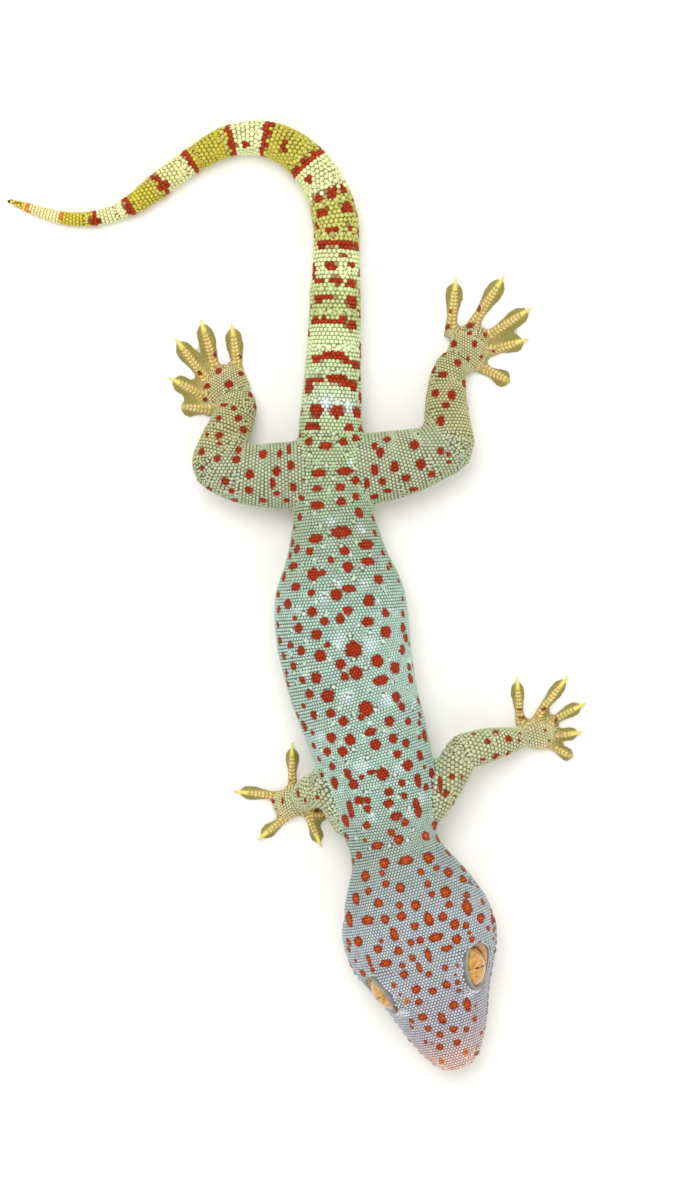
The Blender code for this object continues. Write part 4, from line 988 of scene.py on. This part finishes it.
# Horn is smooth and lets light through, so it has a clear shine and a soft glow. Its yellow is streaked
# about every 0.7 mm.
STREAKS_PER_METRE = 1400.0
HORN_TONES = ("#e2d044", "#f6ee86")
claw_horn, tree, shader = new_finish(
    "claw horn, translucent", Roughness=0.28, Subsurface_Weight=0.3, Subsurface_Scale=0.0006
)
where = add_node(tree, "ShaderNodeTexCoord")
streaks = add_node(
    tree, "ShaderNodeTexNoise", Vector=where.outputs["Object"], Scale=STREAKS_PER_METRE, Detail=2.0
)
horn_tones = add_node(tree, "ShaderNodeValToRGB", Fac=streaks.outputs["Fac"])
for stop, code in zip(horn_tones.color_ramp.elements, HORN_TONES):
    stop.color = (*linear(code), 1)
tree.links.new(horn_tones.outputs["Color"], shader.inputs["Base Color"])

claws = bmesh.new()
for name, (root, tip) in toes.items():
    if name.endswith("toe_1"):
        continue
    run = tip - root
    turn = Matrix.Rotation(math.atan2(run[1], run[0]), 4, "Z")
    place = Matrix.Translation((tip[0], tip[1], 0)) @ turn
    rings = []
    for k in range(CLAW_RINGS):
        t = k / (CLAW_RINGS - 1)
        x = CLAW_LENGTH * t - CLAW_ROOT_BACK
        z = CLAW_ROOT_UP + CLAW_ARCH * math.sin(t * math.pi * 0.75) - CLAW_HOOK * t**2.6
        size = CLAW_THICK * (1 - t) ** 0.6 + CLAW_POINT
        ring = []
        for j in range(CLAW_SIDES):
            a = 2 * math.pi * j / CLAW_SIDES
            ring.append(claws.verts.new(place @ Vector((x, math.cos(a) * size, z + math.sin(a) * size))))
        rings.append(ring)
    close_rings(claws, rings)
    claws.faces.new(rings[0][::-1])
    claws.faces.new(rings[-1])
bmesh.ops.recalc_face_normals(claws, faces=claws.faces)
claw_piece = joined_piece(claws, "claws", claw_horn)
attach(claw_piece, "root")

# The scales are small domes of keratin set on the hide in rings round body, limbs and tail, each ring
# shifted half a scale from the last, as granules lie. Larger tubercles stand among them in rows.
CELL = 1.0  # mm; what is already taken is looked up cell by cell
ROOM_SHARE = 0.31  # of its spacing is a scale's own room
taken = {}
scales = []


def cell(place):
    return tuple(int(part // CELL) for part in place)


def is_free(place, reach):
    """True where no accepted scale's root lies within reach, each also keeping its own room."""
    cx, cy, cz = cell(place)
    for i in (cx - 1, cx, cx + 1):
        for j in (cy - 1, cy, cy + 1):
            for k in (cz - 1, cz, cz + 1):
                for x, y, z, room in taken.get((i, j, k), ()):
                    gap = (x - place[0]) ** 2 + (y - place[1]) ** 2 + (z - place[2]) ** 2
                    if gap < (reach + room) ** 2:
                        return False
    return True


def take(place, room):
    """Marks a place as a scale's root."""
    taken.setdefault(cell(place), []).append((place[0], place[1], place[2], room))


into_eyes = [matrix.inverted() for matrix in eye_frames.values()]
NOSTRIL_RIM = 0.25


def bare(place):
    """True on the lids, in the eye's socket and in the nostrils, where no scales grow."""
    for matrix in into_eyes:
        local = matrix @ Vector(place)
        if local.x > 0 and math.hypot(local.y, local.z) < SOCKET:
            return True
    return min((Vector(place) - pit).length for pit in nostrils) < NOSTRIL_RADIUS + NOSTRIL_RIM


def grow(place, along, pitch, round_pitch, kind, limit):
    """Sets one scale on the hide nearest to place, if that is within limit and has room."""
    hit, normal, _, distance = skin_tree.find_nearest(Vector(place))
    room = ROOM_SHARE * min(pitch, round_pitch)
    if distance <= limit and not bare(hit) and is_free(hit, room):
        take(hit, room)
        scales.append((tuple(hit), tuple(normal), along, pitch, round_pitch, kind))


def outline(tree, centre, out_axis, up_axis, reach, count):
    """Points round the surface where a plane through centre cuts it, from the top, found from outside."""
    found = []
    for k in range(count):
        angle = 2 * math.pi * k / count + math.pi / 2
        ray = out_axis * math.cos(angle) + up_axis * math.sin(angle)
        found.append(tree.ray_cast(centre + ray * reach, -ray, reach)[0])
    return [p for p in found if p is not None]


def spread(line, pitch, shift):
    """Places a pitch apart both ways from the top of a closed line, shifted by a share of the pitch."""
    if len(line) < 8:
        return []
    p = np.array([tuple(q) for q in line] + [tuple(line[0])])
    lengths = np.concatenate([[0], np.cumsum(np.linalg.norm(np.diff(p, axis=0), axis=1))])
    half = int(lengths[-1] / 2 / pitch)
    at = ((np.arange(-half, half + 1) + shift) * pitch) % lengths[-1]
    return np.stack([np.interp(at, lengths, p[:, k]) for k in range(3)], 1)


def axis_height(s):
    """Height of the rings' middle over the floor."""
    return np.interp(s, (0, 20, 60, 120, 180, 250, 331), (8, 9, 9.5, 9, 6.5, 4, 0.7))


def body_pitch(s):
    """Scale spacing along and round the body, in mm: finest on neck and back, coarsest on the tail."""
    stops = (0, 12, 30, 60, 100, 150, 185, 230, 280, 331)
    return float(np.interp(s, stops, (0.8, 0.86, 0.84, 0.8, 0.87, 0.95, 1.15, 1.35, 1.25, 0.9)))


# Shields come first: a row above the mouth's line and one below it, from the snout's tip back.
SHIELD_LENGTH = 2.1
SHIELD_HEIGHT = 1.5
SHIELD_STAND = 0.85
for sign in SIDES.values():
    for s in np.arange(1.2, 37, SHIELD_LENGTH * 0.9):
        for stand in (SHIELD_STAND, -SHIELD_STAND):
            level = mouth_height(s) + stand
            outside = head_frame @ Vector((s, sign * 30, level))
            inward = (head_frame @ Vector((s, 0, level)) - outside).normalized()
            hit = skin_tree.ray_cast(outside, inward)[0]
            if hit is not None:
                grow(hit, (*spine_back[0], 0), SHIELD_LENGTH, SHIELD_HEIGHT, "shield", 1.0)

# Then the tubercles: staggered rows down the back, and one row across at the back of each dark bar
# of the tail.
TUBERCLE_ROWS = (-13.5, -10.2, -7.2, -4.4, -1.5, 1.5, 4.4, 7.2, 10.2, 13.5)
TUBERCLE_SHARE = 0.7  # of the places down the back bear one
TAIL_WHORLS = (
    177.6, 185.4, 191.8, 201, 207, 212.4, 221.4, 230, 234.6, 245, 257.6, 267, 279, 289, 299.4, 309,
)
tubercle_places = []
for index, s in enumerate(np.arange(62, 172, 2.9)):
    half = float(np.interp(s, (60, 110, 140, 170), (0.85, 1.05, 0.8, 0.5)))
    for k, row in enumerate(TUBERCLE_ROWS):
        if (k + index) % 2 == 0 and rng.random() < TUBERCLE_SHARE:
            size = rng.uniform(1.1, 1.4)
            tubercle_places.append((s + rng.uniform(-0.5, 0.5), row * half + rng.uniform(-0.4, 0.4), size))
for s in TAIL_WHORLS:
    half = float(np.interp(s, (170, 190, 230, 280, 310), (8.2, 7.2, 5.8, 3.4, 2.0)))
    for share in (-0.88, -0.55, -0.2, 0.2, 0.55, 0.88):
        size = float(np.interp(s, (170, 230, 310), (1.9, 1.75, 1.0))) * rng.uniform(0.9, 1.1)
        tubercle_places.append((s + rng.uniform(-0.2, 0.2), share * half, size))
for s, off, size in tubercle_places:
    x, y = on_body(s, off)
    z = drop_on(body_tree, x, y)
    if z is not None:
        grow((x, y, z), (*backbone_at(s)[1], 0), size, size, "tubercle", 1.2)

# The small scales follow in rings down the body and then down the limbs.
ROW_STEP = 0.87  # of the spacing, as staggered rows close up
ROW_LIMIT = 0.8  # mm from where the ring meets the solids to the hide
s, ring = 0.8, 0
while s < 330:
    pitch = body_pitch(s)
    middle, back, out = backbone_at(s)
    centre = Vector((*middle, axis_height(s)))
    line = outline(body_tree, centre, Vector((*out, 0)), Vector((0, 0, 1)), 34, 72)
    for place in spread(line, pitch, 0.5 * (ring % 2)):
        grow(place, (*back, 0), pitch, pitch, "granule", ROW_LIMIT)
    s += pitch * ROW_STEP
    ring += 1

# The line down the middle of each limb, from its root to its palm, and the scales' spacing at each stop.
LIMB_AXES = {
    ("upper_arm_left", "forearm_left", "hand_left"):
        ((33, -57.5, 10), (38.2, -50.6, 11), (43.4, -41.4, 11.2), (51, -39, 8), (59, -37.6, 4),
         (68, -36, 1.8)),
    ("upper_arm_right", "forearm_right", "hand_right"):
        ((15, -57.5, 9.6), (11, -52.5, 12), (7.6, -49.6, 12.2), (4, -51.5, 8), (1.6, -53.6, 4.2),
         (-4.5, -55, 1.8)),
    ("thigh_left", "shank_left", "foot_left"):
        ((15, 32.2, 9), (27, 34, 9.4), (34, 36, 9.6), (40.4, 39.6, 9.2), (39.9, 47, 7.4),
         (40.2, 55.5, 4.8), (42.4, 61, 3.4), (46.5, 68, 1.8)),
    ("thigh_right", "shank_right", "foot_right"):
        ((4, 31.4, 9), (-8, 31, 9.4), (-15, 31.6, 9.6), (-20.2, 34.4, 9.2), (-17.6, 42, 7.4),
         (-14.8, 48.6, 4.8), (-16, 52, 3.4), (-20, 58, 1.8)),
}
LIMB_PITCH = {
    "upper": (1.05, 1.25, 1.3, 1.2, 0.95, 0.72), "thigh": (1, 1, 1.02, 1.05, 1.02, 0.92, 0.85, 0.72),
}
LIMB_STEP = 0.05
BEND_LENGTH = 4  # mm over which the line's corners are rounded
for parts, stops in LIMB_AXES.items():
    limb_tree, _ = tree_of(parts)
    line = np.array(stops) - (*PLAN_MIDDLE, 0)
    chord = np.concatenate([[0], np.cumsum(np.linalg.norm(np.diff(line, axis=0), axis=1))])
    at = np.arange(0, chord[-1], LIMB_STEP)
    pitches = np.interp(at, chord, LIMB_PITCH[parts[0].split("_")[0]])
    smooth_line = np.stack([np.interp(at, chord, line[:, k]) for k in range(3)], 1)
    blunt = np.hanning(int(BEND_LENGTH / LIMB_STEP) + 1)
    padded = np.pad(smooth_line, ((len(blunt) // 2,) * 2, (0, 0)), "edge")
    smooth_line = np.stack([np.convolve(padded[:, k], blunt / blunt.sum(), "valid") for k in range(3)], 1)
    tangents = np.gradient(smooth_line, axis=0)
    tangents /= np.linalg.norm(tangents, axis=1, keepdims=True)
    travel, ring, index = 0.0, 0, 0
    while index < len(smooth_line):
        pitch = pitches[index]
        tangent = Vector(tangents[index])
        level = Vector((0, 0, 1)).cross(tangent).normalized()
        up = tangent.cross(level)
        section = outline(limb_tree, Vector(smooth_line[index]), level, up, 13, 48)
        for place in spread(section, pitch, 0.5 * (ring % 2)):
            grow(place, tuple(tangent), pitch, pitch, "granule", ROW_LIMIT)
        travel += pitch * ROW_STEP
        ring += 1
        index = int(round(travel / LIMB_STEP))

# Toes: two rows of plates meet in a V along the top of each toe, and broad pads lie across its sole.
SOLE_PITCH = 1.0
SOLE_LENGTH = 1.12
SOLE_BREADTH = ((0.3, 1.6), (0.6, 2.4), (0.85, 2.4), (1, 1.7))  # place along the toe, share of its ridge
for name, (root, tip) in toes.items():
    length = np.linalg.norm(tip - root)
    run = (tip - root) / length
    across = np.array((-run[1], run[0]))
    breadth = TOE_BREADTH[name.split("_")[0]]
    for middle in np.arange(0.5 * CHEVRON_PITCH, length - 1.6, CHEVRON_PITCH):
        width = breadth * (1.45 - 0.85 * middle / length)
        d = middle + 0.35 * width
        for half in (-1, 1):
            x, y = root + run * d + across * half * width * 0.5
            z = drop_on(flesh_tree, x, y) or 2.0
            lean = run - across * half * 0.7
            grow((x, y, z), (*lean, 0), CHEVRON_PITCH * 0.72, width * 1.12, "plate", ROW_LIMIT)
    for d in np.arange(length * 0.3, length - 0.5, SOLE_PITCH):
        x, y = root + run * d
        width = breadth * np.interp(d / length, *zip(*SOLE_BREADTH))
        grow((x, y, 0), (*run, 0), SOLE_LENGTH, width, "plate", ROW_LIMIT)

# Whatever the rings leave bare, as at the roots of the limbs, on the palms and round the eyes, is
# filled with smaller granules. The margins of the toe pads have only a fine grain, which the hide has.
FILL_PITCH = {"body": 0.76, "limb": 0.82, "palm": 0.64}
FILL_ROOM = 0.33  # of its spacing
FILL_GAP = 0.03
centres = points[quads].mean(1)
for index in rng.permutation(len(centres)):
    here = hide_regions[quads[index, 0]]
    if here == "toe":
        continue
    pitch = FILL_PITCH[here]
    place = centres[index]
    room = FILL_ROOM * pitch
    if not is_free(place, room + FILL_GAP) or bare(place):
        continue
    take(place, room)
    p = points[quads[index]]
    normal = np.cross(p[2] - p[0], p[3] - p[1])
    normal /= max(np.linalg.norm(normal), 1e-9)
    scales.append((tuple(place), tuple(normal), (1.0, 0.0, 0.0), pitch, pitch, "granule"))

# Each scale is coloured as the hide below it, a little lighter or darker than its neighbours, and its
# mesh is laid with those of its group.
SHADE_SPREAD = 0.2
HUE_SPREAD = 0.06
TUBERCLE_PALE = "#e6ecdf"
PALE_SHARES = (0.3, 0.1)  # of that in a tubercle's colour, on the back and on the tail
TAIL_START = 175
roots = np.array([row[0] for row in scales])
facing = np.array([row[1] for row in scales])
ahead = np.array([row[2] for row in scales])
sizes = np.array([row[3:5] for row in scales])
kinds = np.array([row[5] for row in scales])
scale_owner = np.array([flesh_owner[flesh_tree.find_nearest(Vector(p))[2]] for p in roots])
ahead = ahead - facing * (ahead * facing).sum(1, keepdims=True)
ahead /= np.maximum(np.linalg.norm(ahead, axis=1, keepdims=True), 1e-9)
sideways = np.cross(facing, ahead)
scale_colours = ground(roots, facing, scale_owner)
below = np.array([quads[skin_tree.find_nearest(Vector(p))[2]][0] for p in roots])
limb_scales = np.array([region(name) in ("limb", "palm") for name in scale_owner])
scale_colours[limb_scales] = limb_colours[below[limb_scales]]
tint = 1 + SHADE_SPREAD * (rng.random((len(roots), 1)) - 0.5)
tint = tint + HUE_SPREAD * (rng.random((len(roots), 3)) - 0.5)
scale_colours = scale_colours * tint
is_tubercle = kinds == "tubercle"
station, _ = along_body(roots)
pale_share = np.where(station < TAIL_START, *PALE_SHARES) * is_tubercle
scale_colours = mix(scale_colours, linear(TUBERCLE_PALE), pale_share)
# On the tail a scale is red as a whole, or part-way at a spot's edge. Elsewhere a spot's edge runs
# through the small scales, so those are marked point by point when they are laid.
on_tail = np.array([name.startswith("tail") for name in scale_owner])
NEAR_SPOT = 2.2
near_red = (covered(roots, red_spots) < NEAR_SPOT) & ~on_tail
red_share, red_tones = redness(roots, scale_owner)
red_share = red_share * on_tail
scale_colours = mix(scale_colours, red_tones, red_share)


def dome(sides, rows):
    """A unit dome: rings of (radius, height) closed by one top point. Faces are triangles and quads."""
    verts = []
    for radius, height in rows:
        for j in range(sides):
            a = 2 * math.pi * j / sides
            verts.append((radius * math.cos(a), radius * math.sin(a), height))
    verts.append((0, 0, 1))
    faces = []
    for r in range(len(rows) - 1):
        for j in range(sides):
            a, b = r * sides + j, r * sides + (j + 1) % sides
            faces.append((a, b, b + sides, a + sides))
    top, last = len(verts) - 1, (len(rows) - 1) * sides
    caps = [(last + j, last + (j + 1) % sides, top) for j in range(sides)]
    return np.array(verts), faces, caps


FOOT = 0.59  # a scale's radius at its foot, as a share of the spacing
GRANULE = dome(6, ((FOOT, -0.5), (0.53, 0.2), (0.34, 0.78)))
TUBERCLE = dome(8, ((FOOT, -0.3), (0.46, 0.3), (0.24, 0.8)))

# Keratin is satin: each dome carries a small soft highlight, and light sinks in a little. Its surface
# has a fine grain of about 0.24 mm.
KERATIN_GRAIN_PER_METRE = 4200.0
KERATIN_GRAIN_HEIGHT = 0.00005
keratin, tree, shader = new_finish(
    "scale keratin, satin", Roughness=0.4, IOR=1.55, Specular_IOR_Level=0.16, Subsurface_Weight=0.1,
    Subsurface_Scale=0.0005,
)
markings = add_node(tree, "ShaderNodeVertexColor", {"layer_name": "markings"})
where = add_node(tree, "ShaderNodeTexCoord")
grain = add_node(
    tree, "ShaderNodeTexNoise", Vector=where.outputs["Object"], Scale=KERATIN_GRAIN_PER_METRE, Detail=2.0
)
bump = add_node(
    tree, "ShaderNodeBump", Height=grain.outputs["Fac"], Strength=0.15, Distance=KERATIN_GRAIN_HEIGHT
)
tree.links.new(markings.outputs["Color"], shader.inputs["Base Color"])
tree.links.new(bump.outputs["Normal"], shader.inputs["Normal"])


BODY_BAND = 0.6  # of OFBake's height is the body's, and the rest is a table of the limbs' nodes
LIMB_COLUMNS = 7
LIMB_ROWS = 6


def unwrap(places, names):
    """Where each root falls on an unwrap of the hide: the body by station and angle, the rest by node."""
    s, off = along_body(places)
    angle = np.arctan2(places[:, 2] - axis_height(s), off) / (2 * math.pi) + 0.5
    u, v = s / LENGTH, angle * BODY_BAND
    others = [name for name in FLESH if name not in BODY]
    for index, name in enumerate(others):
        here = names == name
        if not here.any():
            continue
        box = places[here]
        low, high = box.min(0), box.max(0)
        plan = (box[:, :2] - low[:2]) / np.maximum(high[:2] - low[:2], 1e-6)
        under = (box[:, 2] < (low[2] + high[2]) / 2).astype(float)
        column, row = index % LIMB_COLUMNS, index // LIMB_COLUMNS
        u[here] = (column + 0.04 + 0.44 * plan[:, 0] + 0.5 * under) / LIMB_COLUMNS
        v[here] = BODY_BAND + 0.02 + 0.37 * (row + 0.05 + 0.9 * plan[:, 1]) / LIMB_ROWS
    return np.stack([np.clip(u, 0.002, 0.998), np.clip(v, 0.002, 0.998)], 1)


PATCH_RADIUS = 0.0013  # of a scale's patch in OFBake
# Painted shade at a scale's foot, as a share of its own colour: darker and browner than its top, most of all
# on the limbs.
FOOT_SHADE_SHARES = {
    "body": (0.33, 0.23, 0.15), "limb": (0.26, 0.18, 0.09), "palm": (0.4, 0.3, 0.18), "toe": (0.6, 0.5, 0.34),
}
# A scale's crown is painted lighter than its own colour, as a painted highlight.
CROWN_HIGHLIGHT = 1.15
# Painted shade: a red scale darkens less to its foot, and a spot darkens to the scales' feet by these powers.
RED_SHADE_EASING = 0.55  # how much less a red scale darkens to its foot
SPOT_FOOT_SHADE = 0.4  # how much a spot darkens to the scales' feet
SCALE_HEIGHT = 0.34  # of its spacing
FLOOR_ROOM = 0.02
foot_shades = np.array([FOOT_SHADE_SHARES[region(name)] for name in scale_owner])


def lay_scales(name, chosen, template):
    """Joins the chosen scales into one mesh, with their colours and their patch of the unwrap."""
    verts, faces, caps = template
    count, size = len(chosen), len(verts)
    long, wide = sizes[chosen, 0], sizes[chosen, 1]
    tall = SCALE_HEIGHT * np.minimum(long, wide) * (0.85 + 0.3 * rng.random(count))
    local = verts[None] * np.stack([long, wide, tall], 1)[:, None, :]
    placed = roots[chosen][:, None] + ahead[chosen][:, None] * local[..., :1]
    placed = placed + sideways[chosen][:, None] * local[..., 1:2] + facing[chosen][:, None] * local[..., 2:]
    placed[..., 2] = np.maximum(placed[..., 2], FLOOR_ROOM)
    offsets = (np.arange(count) * size)[:, None, None]
    all_quads = (np.array(faces)[None] + offsets).reshape(-1)
    all_caps = (np.array(caps)[None] + offsets).reshape(-1)
    mesh = bpy.data.meshes.new(name)
    mesh.vertices.add(count * size)
    mesh.vertices.foreach_set("co", (placed.reshape(-1) / 1000).astype(np.float32))
    corners = np.concatenate([all_quads, all_caps])
    totals = np.concatenate([np.full(len(all_quads) // 4, 4), np.full(len(all_caps) // 3, 3)])
    mesh.loops.add(len(corners))
    mesh.loops.foreach_set("vertex_index", corners.astype(np.int32))
    mesh.polygons.add(len(totals))
    starts = np.concatenate([[0], np.cumsum(totals)[:-1]])
    mesh.polygons.foreach_set("loop_start", starts.astype(np.int32))
    mesh.update(calc_edges=True)
    mesh.validate()
    spot = unwrap(roots[chosen], scale_owner[chosen])
    patch = spot[:, None, :] + PATCH_RADIUS * verts[None, :, :2] / FOOT
    layer = mesh.uv_layers.new(name="OFBake")
    layer.data.foreach_set("uv", patch.reshape(-1, 2)[corners].astype(np.float32).ravel())
    # Each scale darkens to its foot and lightens to its crown: painted shade and a painted highlight, eased
    # on red scales.
    rim = foot_shades[chosen][:, None]
    shade = rim + (CROWN_HIGHLIGHT - rim) * np.clip((verts[:, 2:] - 0.03) / 0.75, 0, 1)
    softness = 1 - RED_SHADE_EASING * red_share[chosen][:, None, None]
    tones = scale_colours[chosen][:, None] * shade**softness
    spotted = np.flatnonzero(near_red[chosen])
    if len(spotted):
        owners = np.repeat(scale_owner[chosen][spotted], size)
        inside, spot_tones = redness(placed[spotted].reshape(-1, 3), owners)
        shaded_spot = spot_tones * shade[spotted].reshape(-1, 3) ** SPOT_FOOT_SHADE
        tones[spotted] = mix(tones[spotted].reshape(-1, 3), shaded_spot, inside).reshape(-1, size, 3)
    colour_points(mesh, tones.reshape(-1, 3))
    mesh.shade_smooth()
    mesh.materials.append(keratin)
    obj = bpy.data.objects.new(name, mesh)
    bpy.context.scene.collection.objects.link(obj)
    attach(obj, "root")


# The scales are joined into one piece for each part of the animal. Along the body they are parted by
# station: the head ends at the mouth's corner, and the tail starts behind the hips.
on_trunk = np.array([name in BODY for name in scale_owner])
on_toes = np.array([region(name) == "toe" for name in scale_owner])
fore = roots[:, 1] < 0
left_side = roots[:, 0] > 8
coat = ~is_tubercle
limbs = coat & ~on_trunk & ~on_toes
groups = (
    ("scales_head", coat & on_trunk & (station < 40), GRANULE, "head_skin"),
    ("scales_nape", coat & on_trunk & (station >= 40) & (station < 72), GRANULE, "head_skin"),
    ("scales_chest", coat & on_trunk & (station >= 72) & (station < 100), GRANULE, "back_skin"),
    ("scales_trunk", coat & on_trunk & (station >= 100) & (station < 130), GRANULE, "back_skin"),
    ("scales_loin", coat & on_trunk & (station >= 130) & (station < 180), GRANULE, "back_skin"),
    ("scales_tail", coat & on_trunk & (station >= 180), GRANULE, "tail_skin"),
    ("scales_forelimbs", limbs & fore, GRANULE, "leg_skin"),
    ("scales_hindlimb_left", limbs & ~fore & left_side, GRANULE, "leg_skin"),
    ("scales_hindlimb_right", limbs & ~fore & ~left_side, GRANULE, "leg_skin"),
    ("toe_plates", coat & on_toes, GRANULE, "toe_skin"),
    ("tubercles", is_tubercle, TUBERCLE, "back_skin"),
)
for name, chosen, template, slot in groups:
    lay_scales(name, np.flatnonzero(chosen), template)
